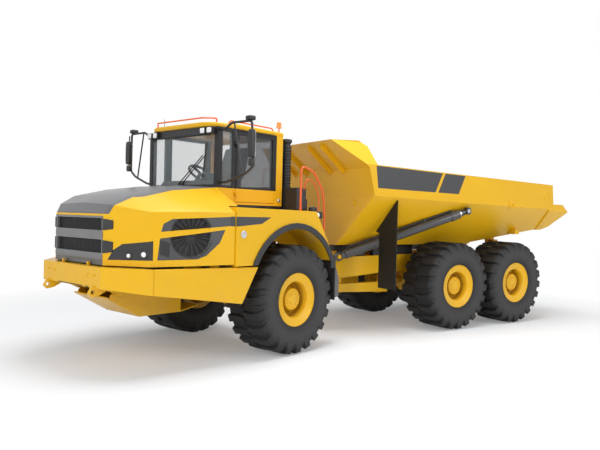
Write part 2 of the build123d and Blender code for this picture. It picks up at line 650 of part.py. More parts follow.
with BuildPart() as vent_space:
    for opening in (upper_vent, lower_vent):
        side_outline(opening, 600, 1500)
with BuildPart() as louvre_field:
    for opening in (upper_vent, lower_vent):
        with BuildSketch(Plane.XZ) as field:
            Polygon(*opening, align=None)
            offset(amount=-louvre_edge, kind=Kind.INTERSECTION)
        extrude(field.sketch, amount=-1500)
with BuildPart() as louvres:
    for index in range(louvre_count):
        low_z = louvre_low_z + index * louvre_pitch
        block((2400, 600, low_z), (3500, 1500, low_z + louvre_pitch / 2))
    add(louvre_field.part, mode=Mode.INTERSECT)
with BuildPart() as side_vents:
    add(hood_skin.part)
    add(vent_space.part, mode=Mode.INTERSECT)
    add(louvres.part, mode=Mode.SUBTRACT)
    mirror(about=Plane.XZ)
save_front(side_vents.part, "side_vents")
with BuildPart() as headlamps:
    add(hood_skin.part)
    side_outline(headlamp_outline, 600, 1500, mode=Mode.INTERSECT)
    mirror(about=Plane.XZ)
save_front(headlamps.part, "headlamps")

# Grille: a framed panel with two barred openings, seated in the hood's nose
with BuildPart() as grille:
    block((hood_front_x - grille_depth, -grille_half_width + seat_gap, grille_bottom_z + seat_gap),
          (hood_front_x + 10, grille_half_width - seat_gap, grille_top_z - seat_gap))
    for low_z, high_z in ((1518, 1682), (1800, 1945)):
        block((hood_front_x - grille_depth - 5, -grille_half_width + 25, low_z),
              (hood_front_x + 15, grille_half_width - 25, high_z), mode=Mode.SUBTRACT)
        for index in range(grille_bar_count):
            bar_z = low_z + (index + 0.5) * (high_z - low_z) / grille_bar_count
            block((hood_front_x - 45, -grille_half_width + 20, bar_z - 4),
                  (hood_front_x - 30, grille_half_width - 20, bar_z + 4))
save_front(grille.part, "grille")

# Engine as one plain block with its feet on the rails
with BuildPart() as engine:
    block(engine_low, engine_high)
    block((engine_low[0] + 200, -frame_outer_y, frame_top_z + seat_gap),
          (engine_low[0] + 300, frame_outer_y, frame_top_z + 60))
save_front(engine.part, "engine_block")

# Fenders: the closed body between the wheel arch and the deck, on two brackets from the frame
fender_front_x = hood_side_rear_x - panel_gap
with BuildPart() as fender:
    side_outline([(fender_front_x, lip_end_z), (fender_front_x, fender_top_z), (fender_rear_x, fender_top_z - 25),
                  (280, lip_end_z)], fender_inner_y, fender_half_width)
    bar((front_axle_x, fender_inner_y - 20, arch_centre_z), (front_axle_x, fender_half_width + 20, arch_centre_z),
        arch_radius, mode=Mode.SUBTRACT, flats=arch_flats)
    block((2200, frame_outer_y + seat_gap, 1090), (2320, fender_inner_y + 5, 1170))
    block((2200, fender_inner_y - 60, 1090), (2320, fender_inner_y + 5, 1600))
    block((470, frame_inner_y, frame_top_z + seat_gap), (580, frame_outer_y, 1780))
    block((470, frame_inner_y, 1700), (580, fender_inner_y + 5, 1780))
save_pair(fender.part, "fender", save_front)

# Rubber arch lip and the flap behind the wheel
with BuildPart() as lips:
    with BuildSketch(Plane.XZ.offset(-fender_half_width - lip_thickness)) as ring:
        with Locations((front_axle_x, arch_centre_z)):
            RegularPolygon(arch_radius - 40 + lip_width, arch_flats)
            RegularPolygon(arch_radius - 40, arch_flats, mode=Mode.SUBTRACT)
        with Locations((front_axle_x, lip_end_z - 1000)):
            Rectangle(3000, 2000, mode=Mode.SUBTRACT)
    extrude(ring.sketch, amount=lip_thickness - seat_gap)
    block((285, fender_half_width + seat_gap, lip_end_z - 120), (400, fender_half_width + lip_thickness, lip_end_z + 40))
    block((285, fender_inner_y + 150, rear_flap_z), (305, fender_half_width + lip_thickness, lip_end_z - seat_gap))
    mirror(about=Plane.XZ)
save_front(lips.part, "fender_lips")

# Two steps behind the left front wheel, on stringers against the flap
step_inner_y, step_outer_y = fender_inner_y + 190, fender_half_width - 20
with BuildPart() as steps:
    for tread_z in step_heights:
        block((285 - step_reach, step_inner_y, tread_z), (285 - seat_gap, step_outer_y, tread_z + 25))
    for stringer_y in (step_inner_y, step_outer_y - 15):
        side_outline([(285 - seat_gap, step_heights[0] - 20), (285 - seat_gap, lip_end_z - 40), (245, lip_end_z - 40),
                      (285 - step_reach, step_heights[1] + 25), (285 - step_reach, step_heights[0])],
                     stringer_y, stringer_y + 15)
save_front(steps.part, "steps")

# Cab: a hollow shell with its windows cut
windows = {
    "windscreen": ((cab_front_x - cab_wall, -cab_half_width + 75, cab_sill_z + 35),
                   (cab_front_x, cab_half_width - 75, cab_glass_top_z - 60)),
    "rear": ((cab_rear_x, -cab_half_width + 150, cab_sill_z + 60),
             (cab_rear_x + cab_wall, cab_half_width - 150, cab_glass_top_z - 40)),
    "right": ((door_rear_x + 60, -cab_half_width, cab_sill_z + 20),
              (door_front_x - 40, -cab_half_width + cab_wall, cab_glass_top_z - 30)),
    "right_quarter": ((door_front_x + 70, -cab_half_width, cab_sill_z + 20),
                      (cab_front_x - 90, -cab_half_width + cab_wall, cab_glass_top_z - 30)),
    "left_quarter": ((door_front_x + 70, cab_half_width - cab_wall, cab_sill_z + 20),
                     (cab_front_x - 90, cab_half_width, cab_glass_top_z - 30)),
}


def grown(corner_pair, x, y, z):
    # a block's corners moved out by the given amounts
    low, high = corner_pair
    return (low[0] - x, low[1] - y, low[2] - z), (high[0] + x, high[1] + y, high[2] + z)


with BuildPart() as cab_shell:
    block((cab_rear_x, -cab_half_width, cab_floor_z), (cab_front_x, cab_half_width, cab_roof_bottom_z))
    block((cab_rear_x + cab_wall, -cab_half_width + cab_wall, cab_floor_z + cab_wall),
          (cab_front_x - cab_wall, cab_half_width - cab_wall, cab_roof_bottom_z + 10), mode=Mode.SUBTRACT)
    for name, corners in windows.items():
        across = name in ("windscreen", "rear")
        block(*grown(corners, 10 if across else 0, 0 if across else 10, 0), mode=Mode.SUBTRACT)
    block((door_rear_x, cab_half_width - cab_wall - 10, cab_floor_z + cab_wall),
          (door_front_x, cab_half_width + 10, cab_glass_top_z), mode=Mode.SUBTRACT)
    for hinge_z in door_hinge_heights:
        # upper knuckle with the pin
        low_z, high_z = hinge_z + door_hinge_length + seat_gap, hinge_z + 2 * door_hinge_length
        block((door_hinge_x, cab_half_width - 5, low_z), (door_hinge_x + 40, door_hinge_y, high_z))
        bar((door_hinge_x, door_hinge_y, low_z), (door_hinge_x, door_hinge_y, high_z), door_hinge_radius)
        bar((door_hinge_x, door_hinge_y, hinge_z), (door_hinge_x, door_hinge_y, high_z), door_pin_radius)
        block((door_rear_x, cab_half_width - cab_wall - 10, low_z - 5), (door_front_x, cab_half_width, high_z + 5),
              mode=Mode.SUBTRACT)
        block((door_hinge_x - door_hinge_radius, cab_half_width, low_z - 5), (door_hinge_x, cab_half_width + 4 + 2, high_z + 5),
              mode=Mode.SUBTRACT)
save_front(cab_shell.part, "cab_shell")

# Cab glass, each pane inside its opening just behind the outer face
with BuildPart() as cab_glass:
    low, high = windows["windscreen"]
    block((high[0] - glass_recess - glass_thickness, low[1] + seat_gap, low[2] + seat_gap),
          (high[0] - glass_recess, high[1] - seat_gap, high[2] - seat_gap))
    low, high = windows["rear"]
    block((low[0] + glass_recess, low[1] + seat_gap, low[2] + seat_gap),
          (low[0] + glass_recess + glass_thickness, high[1] - seat_gap, high[2] - seat_gap))
    for name, side in (("right", -1), ("right_quarter", -1), ("left_quarter", 1)):
        low, high = windows[name]
        face_y = side * (cab_half_width - glass_recess)
        low_y, high_y = sorted((face_y, face_y - side * glass_thickness))
        block((low[0] + seat_gap, low_y, low[2] + seat_gap), (high[0] - seat_gap, high_y, high[2] - seat_gap))
save_front(cab_glass.part, "cab_glass")

# Cab door, hinged at its front edge, with its glass
door_low = (door_rear_x + door_gap, cab_half_width - cab_wall, cab_floor_z + cab_wall + door_gap)
door_high = (door_front_x - door_gap, cab_half_width + 4, cab_glass_top_z - door_gap)
door_frame = 45
with BuildPart() as cab_door:
    block(door_low, door_high)
    block((door_low[0] + door_frame, door_low[1] - 10, cab_sill_z + 20),
          (door_high[0] - door_frame, door_high[1] + 10, door_high[2] - door_frame), mode=Mode.SUBTRACT)
    for hinge_z in door_hinge_heights:
        # lower knuckle, turning on the shell's pin
        high_z = hinge_z + door_hinge_length
        block((door_hinge_x - 40, door_high[1] - 1, hinge_z), (door_hinge_x, door_hinge_y, high_z))
        bar((door_hinge_x, door_hinge_y, hinge_z), (door_hinge_x, door_hinge_y, high_z), door_hinge_radius)
        bar((door_hinge_x, door_hinge_y, hinge_z - 1), (door_hinge_x, door_hinge_y, high_z + 1),
            door_pin_radius + seat_gap, mode=Mode.SUBTRACT, flats=0)
save_front(cab_door.part, "cab_door")
with BuildPart() as door_glass:
    block((door_low[0] + door_frame + seat_gap, cab_half_width - glass_recess - glass_thickness,
           cab_sill_z + 20 + seat_gap),
          (door_high[0] - door_frame - seat_gap, cab_half_width - glass_recess,
           door_high[2] - door_frame - seat_gap))
save_front(door_glass.part, "door_glass")

# Roof, with the visor and lamps under its front edge
roof_top_z = cab_roof_bottom_z + roof_thickness
with BuildPart() as cab_roof:
    plan_outline([(cab_rear_x - 60, 760), (cab_rear_x - 60, -760), (1900, -840), (2250, -700), (2330, -540),
                  (2330, 540), (2250, 700), (1900, 840)], cab_roof_bottom_z + seat_gap, roof_top_z)
save_front(cab_roof.part, "cab_roof")
with BuildPart() as visor:
    side_outline([(cab_front_x + seat_gap, cab_roof_bottom_z), (cab_front_x + seat_gap, 3150), (2275, 3165),
                  (2290, cab_roof_bottom_z)], -640, 640)
    for side in (1, -1):
        for lamp_x, lamp_y in ((cab_front_x + 40, 557), (cab_front_x + seat_gap, 685)):
            block((lamp_x, side * lamp_y - 52, 3160), (cab_front_x + 85, side * lamp_y + 52, 3250))
save_front(visor.part, "roof_lamps")
with BuildPart() as roof_rail:
    rail_z = roof_top_z + 60
    rail_foot_z = roof_top_z + seat_gap
    pipe([(2180, -690, rail_foot_z), (2180, -690, rail_z), (2310, -520, rail_z), (2310, 520, rail_z),
          (2180, 690, rail_z), (2180, 690, rail_foot_z)], 35, 12)
save_front(roof_rail.part, "roof_rail")

# Seat and dashboard
with BuildPart() as seat:
    cab_deck_z = cab_floor_z + cab_wall
    side_outline([(1250, cab_deck_z + seat_gap), (1250, 2560), (1180, 2640), (1080, 3080), (1160, 3100), (1300, 2700),
                  (1660, 2660), (1680, 2560), (1500, 2540), (1500, cab_deck_z + seat_gap)], -250, 250)
save_front(seat.part, "seat")
with BuildPart() as dashboard:
    dash_front_x = cab_front_x - cab_wall - seat_gap
    side_outline([(dash_front_x, cab_deck_z + seat_gap), (dash_front_x, 2440), (2120, 2520), (2000, 2500),
                  (2020, 2380), (2060, cab_deck_z + seat_gap)], -600, 600)
    bar((2030, 0, 2430), (1890, 0, 2630), 30)
    with BuildSketch(Plane(origin=(1890, 0, 2630), z_dir=(-0.57, 0, 0.82))) as wheel_disc:
        RegularPolygon(210, 20)
        RegularPolygon(180, 20, mode=Mode.SUBTRACT)
        Rectangle(370, 40)
    extrude(wheel_disc.sketch, amount=26)
save_front(dashboard.part, "dashboard")

# Mirrors on bent arms in front of the cab's corners
with BuildPart() as mirrors:
    arm_foot_y = cab_half_width + seat_gap
    pipe([(2190, arm_foot_y, 3225), (2190, 900, 3225), (2190, 1010, 3300), (2180, 1400, 3300), (2160, 1437, 2700),
          (2160, 1300, 2600), (2190, 920, 2480), (2190, arm_foot_y, 2480)], 30, rail_tube_radius)
    block((2180, 1380, 2800), (2240, 1490, 3180))
    block((2175, 1390, 2700), (2225, 1480, 2790))
    block((2120, 1300, 3300), (2220, 1420, 3370))
    mirror(about=Plane.XZ)
save_front(mirrors.part, "mirrors")

# Orange grab rails behind the left side of the cab
with BuildPart() as handrails:
    deck_slope = 25 / (fender_front_x - fender_rear_x)
    rear_face = Vector(fender_rear_x - 280, 0, fender_top_z - 25 - lip_end_z).normalized()
    foot = Vector(280, handrail_y, lip_end_z) + rear_face * 225 + Vector(-rear_face.Z, 0, rear_face.X) * seat_gap
    step_out = foot + Vector(-rear_face.Z, 0, rear_face.X) * 90
    pipe([(900, handrail_y, fender_top_z - 25 + deck_slope * (900 + 17 - fender_rear_x) + seat_gap), (900, handrail_y, 2900),
          (820, handrail_y, 2990), (520, handrail_y, 2800), (step_out.X, handrail_y, 2300), (step_out.X, handrail_y, step_out.Z),
          tuple(foot)], 55, rail_tube_radius)
save_front(handrails.part, "handrails")

# Posts between the frame's rails and the cab's floor
with BuildPart() as cab_mounts:
    for post_x in (930, 2100):
        block((post_x, frame_inner_y, frame_top_z + seat_gap), (post_x + 80, frame_outer_y, cab_floor_z - seat_gap))
    mirror(about=Plane.XZ)
save_front(cab_mounts.part, "cab_mounts")

# Service box, intake stack and beacon behind the cab
with BuildPart() as service_box:
    block((620, -700, fender_top_z + 20), (860, 700, 2450))
    block((700, frame_inner_y, frame_top_z + seat_gap), (780, frame_outer_y, fender_top_z + 25))
    block((700, -frame_outer_y, frame_top_z + seat_gap), (780, -frame_inner_y, fender_top_z + 25))
    block((700, -frame_outer_y, 1300), (780, frame_outer_y, 1400))
    bar((760, 600, 2440), (760, 600, 3150), 75)
save_front(service_box.part, "rear_deck")
with BuildPart() as beacon:
    bar((900, 700, roof_top_z + seat_gap), (900, 700, 3400), 12)
    bar((900, 700, 3400), (900, 700, 3500), 45)
save_front(beacon.part, "beacon")

# Dump body: the V-shaped section swept back along the rake, cut by its side profile
rake = radians(body_rake)
section_plane = Plane(origin=(body_front_x + 400, 0, body_front_top_z + 400 * tan(rake)),
                      x_dir=(0, 1, 0), z_dir=(-cos(rake), 0, -sin(rake)))
slope_bottom = band_height + slope_drop + 20
band_bottom_z = body_front_top_z - band_height
side_profile = [(floor_front_x, body_floor_z), (body_front_x, band_bottom_z), (body_front_x, body_front_top_z),
                (-5760, 2800), (-5800, 2400), (-6050, 2400), (tail_x, 2250), (-6080, 1930),
                (-5900, 1887), (tail_rise_x, body_floor_z)]
floor_top_z = body_floor_z + body_plate
# the leaning headboard's thickness along X
lean_plate = headboard_plate * 1.3
hollow_profile = [(floor_front_x - headboard_plate, floor_top_z), (body_front_x - headboard_plate, band_bottom_z),
                  (headboard_crease[0] - lean_plate, headboard_crease[1]), (headboard_crease[0] - lean_plate, 3400),
                  (-7000, 3400), (-7000, 2145 + body_plate), (tail_rise_x, floor_top_z)]
canopy_profile = [(body_front_x, band_bottom_z), headboard_crease, headboard_lip, headboard_rear_top,
                  (-930, 3240), (body_front_x - 40, body_front_top_z - 60), (body_front_x - 40, band_bottom_z)]
with BuildPart() as canopy_hollow:
    side_outline([(body_front_x - headboard_plate, band_bottom_z - 100), (body_front_x - headboard_plate, band_bottom_z),
                  (headboard_crease[0] - lean_plate, headboard_crease[1]),
                  (headboard_lip[0] - lean_plate, headboard_lip[1]), (headboard_lip[0] - lean_plate, 3600),
                  (-1600, 3600), (-1600, band_bottom_z - 100)], -body_half_width, body_half_width)
    inner_half = body_half_width - band_thickness
    inner_top = headboard_half_width - band_thickness
    cross_outline([(inner_half, band_bottom_z - 200), (inner_half, body_front_top_z),
                   (inner_top, headboard_lip[1]), (inner_top, 3600), (-inner_top, 3600),
                   (-inner_top, headboard_lip[1]), (-inner_half, body_front_top_z),
                   (-inner_half, band_bottom_z - 200)], -1700, 0, mode=Mode.INTERSECT)
with BuildPart() as canopy:
    side_outline(canopy_profile, -body_half_width, body_half_width)
    cross_outline([(body_half_width, band_bottom_z - 10), (body_half_width, body_front_top_z),
                   (headboard_half_width, headboard_lip[1]), (headboard_half_width, 3500),
                   (-headboard_half_width, 3500), (-headboard_half_width, headboard_lip[1]),
                   (-body_half_width, body_front_top_z), (-body_half_width, band_bottom_z - 10)],
                  -1500, 0, mode=Mode.INTERSECT)
    add(canopy_hollow.part, mode=Mode.SUBTRACT)
with BuildPart() as load_space:
    with BuildSketch(section_plane) as inner_section:
        Polygon((inner_half, -600), (inner_half, band_height - 5), (floor_half_width - 12, slope_bottom - body_plate),
                (-floor_half_width + 12, slope_bottom - body_plate), (-inner_half, band_height - 5),
                (-inner_half, -600), align=None)
    extrude(inner_section.sketch, amount=7000)
    side_outline(hollow_profile, -1600, 1600, mode=Mode.INTERSECT)
with BuildPart() as end_rim:
    with BuildSketch(section_plane) as rim_outline:
        Polygon((body_half_width, band_height - 130), (body_half_width, band_height + end_rim_thickness),
                (floor_half_width + 12, slope_bottom + end_rim_thickness),
                (-floor_half_width - 12, slope_bottom + end_rim_thickness),
                (-body_half_width, band_height + end_rim_thickness), (-body_half_width, band_height - 130), align=None)
    extrude(rim_outline.sketch, amount=7000)
    side_outline([(-5626, 2380), (-5760, 1888 - end_rim_thickness), (-5905, 1887 - end_rim_thickness),
                  (-6080, 1930), (tail_x, 2250), (-6127, 2400), (-6000, 2400)], -1600, 1600, mode=Mode.INTERSECT)
    add(load_space.part, mode=Mode.SUBTRACT)
with BuildPart() as dump_body:
    with BuildSketch(section_plane) as section:
        Polygon((body_half_width, 0), (body_half_width, band_height), (floor_half_width, slope_bottom),
                (-floor_half_width, slope_bottom), (-body_half_width, band_height), (-body_half_width, 0), align=None)
    extrude(section.sketch, amount=7000)
    side_outline(side_profile, -1600, 1600, mode=Mode.INTERSECT)
    # boxes on the slopes above the rear wheels
    for side in (1, -1):
        low_y, high_y = sorted((side * (tail_box_y - 95), side * (tail_box_y + 95)))
        block((tail_box_x - 70, low_y, tail_box_z - 45), (tail_box_x + 70, high_y, tail_box_z + 45))
    # tipping lugs, inside the frame's brackets
    lug_outer_y = rail_y - rail_width / 2 - 10
    for side in (1, -1):
        low_y, high_y = sorted((side * lug_outer_y, side * (lug_outer_y - 50)))
        side_outline([(tipping_x - 90, tipping_z - 60), (tipping_x + 90, tipping_z - 60), (tipping_x + 200, 1850),
                      (tipping_x - 200, 1930)], low_y, high_y)
        low_y, high_y = sorted((side * (lug_outer_y - 50), side * (rail_y + rail_width / 2 + 20)))
        bar((tipping_x, low_y, tipping_z), (tipping_x, high_y, tipping_z), tipping_pin_radius)
    # hoist brackets under the band
    cheek_y = hoist_eye[1] - hoist_eye_width / 2 - hoist_cheek_gap
    for side in (1, -1):
        low_y, high_y = sorted((side * (cheek_y - 34), side * cheek_y))
        side_outline([(hoist_eye[0] - 150, hoist_eye[2] + 86), (hoist_eye[0] - 110, hoist_eye[2] - 20),
                      (hoist_eye[0] + 5, hoist_eye[2] - 20), (hoist_eye[0] + 5, hoist_eye[2] + 86)], low_y, high_y)
        for rib_x in (hoist_eye[0] - 120, hoist_eye[0] - 14):
            cross_outline([(side * (cheek_y - 20), hoist_eye[2] + 60), (side * (cheek_y - 95), hoist_eye[2] - 4),
                           (side * (cheek_y - 20), hoist_eye[2] - 20)], rib_x, rib_x + 18)
    add(load_space.part, mode=Mode.SUBTRACT)
    add(canopy.part)
    add(end_rim.part)
    # gussets under the spill guard
    for gusset_y in gusset_places:
        side_outline([(headboard_crease[0] - 8, headboard_crease[1] + 6), (headboard_crease[0] + 5, headboard_crease[1] - 90),
                      (headboard_crease[0] + 65, headboard_crease[1] - 35), (headboard_lip[0] - 60, headboard_lip[1] - 130),
                      (headboard_lip[0] - 35, headboard_lip[1] - 18)], gusset_y - 12, gusset_y + 12)
save_rear(dump_body.part, "dump_body")

# Mud flaps hung from the body in front of the bogie
flap_high_z, flap_notch_z = 2340, 1790


def slope_y(x, z):
    # half width of the body's sloping side at a station and a height
    edge_z = band_bottom_z - (body_front_x - x) * tan(rake)
    return body_half_width - (edge_z - z) * (body_half_width - floor_half_width) / (slope_bottom - band_height)


# the flap stands outside the hoist barrel that passes it
flap_share = (hoist_base[0] - flap_x) / (hoist_base[0] - hoist_eye[0])
flap_inner_y = hoist_base[1] + (hoist_eye[1] - hoist_base[1]) * flap_share + hoist_barrel_radius + flap_clearance
with BuildPart() as mud_flaps:
    cross_outline([(flap_outer_y, flap_high_z), (flap_outer_y, flap_low_z), (flap_inner_y, flap_low_z),
                   (flap_inner_y, flap_notch_z - 30), (slope_y(flap_x - 10, flap_notch_z) + 2 * seat_gap, flap_notch_z),
                   (slope_y(flap_x - 10, flap_high_z) + 2 * seat_gap, flap_high_z)], flap_x - 10, flap_x)
    mirror(about=Plane.XZ)
save_rear(mud_flaps.part, "mud_flaps")

# Hoist cylinders, drawn on the left as they lie with the body down
with BuildPart() as hoist_barrel:
    bar(along(hoist_base, hoist_eye, hoist_neck), along(hoist_base, hoist_eye, 130), hoist_rod_radius + 14)
    bar(along(hoist_base, hoist_eye, 110), along(hoist_base, hoist_eye, hoist_barrel_length), hoist_barrel_radius)
    bar((pin_x, pin_y - hoist_eye_width / 2, pin_z), (pin_x, pin_y + hoist_eye_width / 2, pin_z), hoist_eye_radius)
    bar(along(hoist_base, hoist_eye, hoist_rod_start - 5), along(hoist_base, hoist_eye, hoist_barrel_length + 10),
        hoist_rod_radius + running_clearance, mode=Mode.SUBTRACT)
    bar((pin_x, pin_y - hoist_eye_width, pin_z), (pin_x, pin_y + hoist_eye_width, pin_z),
        hoist_pin_radius + hoist_ball_clearance, mode=Mode.SUBTRACT, flats=0)
save_pair(hoist_barrel.part, "hoist_barrel", save_rear)
with BuildPart() as hoist_rod:
    bar(along(hoist_base, hoist_eye, hoist_rod_start), along(hoist_eye, hoist_base, hoist_eye_radius + 25), hoist_rod_radius)
    bar(along(hoist_eye, hoist_base, hoist_eye_radius + 30), along(hoist_eye, hoist_base, hoist_neck), hoist_rod_radius - 20)
    eye_x, eye_y, eye_z = hoist_eye
    bar((eye_x, eye_y - hoist_eye_width / 2, eye_z), (eye_x, eye_y + hoist_eye_width / 2, eye_z), hoist_eye_radius - 8)
    bar((eye_x, eye_y, eye_z), (eye_x, eye_y + hoist_eye_width / 2 + 10, eye_z), hoist_pin_radius)
save_pair(hoist_rod.part, "hoist_rod", save_rear)
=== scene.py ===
import json
import math
import bmesh
import bpy
import numpy as np
from mathutils import Matrix, Vector


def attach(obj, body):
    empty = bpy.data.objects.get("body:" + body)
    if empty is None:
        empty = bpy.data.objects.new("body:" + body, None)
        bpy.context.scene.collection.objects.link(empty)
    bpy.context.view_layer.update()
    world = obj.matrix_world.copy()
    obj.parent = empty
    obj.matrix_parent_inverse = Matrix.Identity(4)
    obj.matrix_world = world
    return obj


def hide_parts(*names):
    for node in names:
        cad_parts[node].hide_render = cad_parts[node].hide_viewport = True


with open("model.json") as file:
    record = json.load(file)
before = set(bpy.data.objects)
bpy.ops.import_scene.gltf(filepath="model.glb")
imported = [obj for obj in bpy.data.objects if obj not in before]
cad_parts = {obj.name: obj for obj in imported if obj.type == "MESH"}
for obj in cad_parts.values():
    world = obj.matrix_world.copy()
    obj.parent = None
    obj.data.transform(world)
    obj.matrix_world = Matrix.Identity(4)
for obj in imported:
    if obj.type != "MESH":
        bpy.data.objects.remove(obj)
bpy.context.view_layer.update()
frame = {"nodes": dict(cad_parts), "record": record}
nodes = frame["nodes"]
bodyOf = {node: body for body, members in frame["record"]["behaviour"]["bodies"].items() for node in members}

# The truck is drawn in two units, in metres, each straight and measured from the steering pin:
# +X forward, +Y to the driver's left. These values place both units in the frame.
stance = {
    "turn": math.radians(15), "middle": (-1.130, 0.318), "frontBodies": ("front_unit", "hood", "wheel_front"),
}
cosTurn, sinTurn = math.cos(stance["turn"]), math.sin(stance["turn"])


def placed(points, unit):
    # points of a unit, turned with the front unit where it is one, and moved to the frame
    points = np.asarray(points, float)
    x, y, z = points[..., 0], points[..., 1], points[..., 2]
    if unit == "front":
        x, y = cosTurn * x - sinTurn * y, sinTurn * x + cosTurn * y
    return np.stack([x - stance["middle"][0], y - stance["middle"][1], z], axis=-1)


# Shader maths: a wire is one output of a node, and arithmetic on wires adds Math nodes
class Wire:
    def __init__(self, paint, socket):
        self.paint, self.socket = paint, socket

    def maths(self, operation, *terms):
        return self.paint.node("ShaderNodeMath", {"operation": operation}, *terms)

    def __add__(self, other):
        return self.maths("ADD", self, other)

    def __radd__(self, other):
        return self.maths("ADD", other, self)

    def __sub__(self, other):
        return self.maths("SUBTRACT", self, other)

    def __rsub__(self, other):
        return self.maths("SUBTRACT", other, self)

    def __mul__(self, other):
        return self.maths("MULTIPLY", self, other)

    def __rmul__(self, other):
        return self.maths("MULTIPLY", other, self)

    def __truediv__(self, other):
        return self.maths("DIVIDE", self, other)

    def absolute(self):
        return self.maths("ABSOLUTE", self)

    def root(self):
        return self.maths("SQRT", self)

    def sine(self):
        return self.maths("SINE", self)

    def clamped(self):
        return self.maths("MINIMUM", self.maths("MAXIMUM", self, 0.0), 1.0)

    def above(self, level, soft=0.002):
        # 1 where the value is over the level, 0 below it, with a soft step between
        return ((self - level) / soft + 0.5).clamped()

    def below(self, level, soft=0.002):
        return 1.0 - self.above(level, soft)

    def between(self, low, high, soft=0.002):
        return self.above(low, soft) * self.below(high, soft)


class Paint:
    # a node tree, of a new material or of the world that is given, with short calls for its nodes
    def __init__(self, name, world=None):
        self.material = world or bpy.data.materials.new(name)
        self.material.use_nodes = True
        self.tree = self.material.node_tree

    def feed(self, socket, value):
        # a wire is linked to the socket, and a plain value is set on it; a colour of three values is opaque
        if isinstance(value, Wire):
            self.tree.links.new(value.socket, socket)
        elif isinstance(value, tuple) and len(socket.default_value) > len(value):
            socket.default_value = (*value, 1.0)
        else:
            socket.default_value = value

    def node(self, kind, settings, *inputs, out=0, **named):
        made = self.tree.nodes.new(kind)
        for key, value in settings.items():
            setattr(made, key, value)
        for index, value in enumerate(inputs):
            self.feed(made.inputs[index], value)
        for key, value in named.items():
            self.feed(made.inputs[key.replace("_", " ")], value)
        return Wire(self, made.outputs[out])

    def place(self):
        return self.node("ShaderNodeTexCoord", {}, out=3)

    def unitAxes(self, unit):
        # the point in its unit's own axes, as three wires
        turn = -stance["turn"] if unit == "front" else 0.0
        middle = (*stance["middle"], 0.0)
        moved = self.node("ShaderNodeVectorMath", {"operation": "ADD"}, self.place(), middle)
        turned = self.node("ShaderNodeMapping", {}, moved, Rotation=(0, 0, turn))
        parts = self.node("ShaderNodeSeparateXYZ", {}, turned).socket.node
        return [Wire(self, socket) for socket in parts.outputs]

    def noise(self, scale, detail):
        return self.node("ShaderNodeTexNoise", {}, Vector=self.place(), Scale=scale, Detail=detail,
                         Roughness=0.55)

    def mix(self, share, first, second):
        mixed = self.node("ShaderNodeMix", {"data_type": "RGBA"}, share, out=2)
        for index, colour in ((6, first), (7, second)):
            self.feed(mixed.socket.node.inputs[index], colour)
        return mixed

    def bump(self, height, strength, distance):
        return self.node("ShaderNodeBump", {}, Height=height, Strength=strength, Distance=distance)

    def set(self, **values):
        for key, value in values.items():
            self.feed(self.tree.nodes["Principled BSDF"].inputs[key.replace("_", " ")], value)
        return self.material

    def show(self, output, share, first, second):
        # two shaders mixed by a share and led to the tree's output
        mixed = self.node("ShaderNodeMixShader", {}, share, first, second)
        self.feed(self.tree.nodes[output].inputs[0], mixed)


# Colours as they are seen in the photograph, in linear light
tones = {
    # the well's tone is painted shade, deep inside the rims
    "yellow": (0.84, 0.475, 0.008), "yellowDeep": (0.77, 0.425, 0.006), "wellShade": (0.36, 0.185, 0.004),
    # the hood's grey is its dark paint made lighter, as a painted highlight from above
    "charcoal": (0.058, 0.059, 0.062), "hoodGreyHighlit": (0.135, 0.136, 0.141), "black": (0.012, 0.012, 0.013),
    "pit": (0.008, 0.008, 0.009), "wire": (0.035, 0.036, 0.038), "sidewall": (0.044, 0.044, 0.046),
    "dust": (0.35, 0.29, 0.20),
}


def paintedYellow(paint, darkShare=None, darkTone=tones["charcoal"]):
    # gloss yellow with a faint mottle, and thin dust low down; dark zones where a share is given: dark paint,
    # and painted shade in the rims' wells
    height = paint.unitAxes("rear")[2]
    mottle = paint.noise(1.4, 4.0)
    base = paint.mix(mottle, tones["yellow"], tones["yellowDeep"])
    dusty = (1.0 - height / 1.6).clamped() * (paint.noise(5.0, 5.0) - 0.35).clamped() * 0.55
    rough = 0.27 + mottle * 0.10 + dusty * 0.4
    peel = paint.bump(paint.noise(60.0, 2.0), 0.05, 0.0006)
    if darkShare is not None:
        base = paint.mix(darkShare, base, darkTone)
        rough = rough + darkShare * 0.06
    return paint.set(Base_Color=paint.mix(dusty, base, tones["dust"]), Roughness=rough, Normal=peel,
                     Specular_IOR_Level=0.28, Coat_Weight=0.08, Coat_Roughness=0.12)


def plainPaint(name, tone, rough, metallic=0.0, coat=0.0, grain=90.0, grainDepth=0.0004, spread=0.25):
    # one tone with a little unevenness, and a fine grain in its gloss
    paint = Paint(name)
    patches = paint.noise(3.0, 4.0)
    darker = tuple(part * (1 - spread) for part in tone)
    uneven = (rough + (patches - 0.5) * 0.16).clamped()
    surface = paint.bump(paint.noise(grain, 2.0), 0.12, grainDepth)
    return paint.set(Base_Color=paint.mix(patches, tone, darker), Roughness=uneven, Normal=surface,
                     Metallic=metallic, Coat_Weight=coat)


# Hood paint. The panel on top: its half width at the windscreen, the stations from which it narrows with
# their slopes, and its level. The end of the side's stripe, and the sill under the grille.
hoodPanel = {
    "half": 0.818, "narrows": [(2.93, 0.10), (3.42, 0.20)], "level": 2.002, "soft": 0.004,
    "stripe": {"end": 2.478, "low": 1.876, "high": 2.005, "side": 1.25},
    "sill": {"start": 3.80, "high": 1.426, "side": 0.580},
}


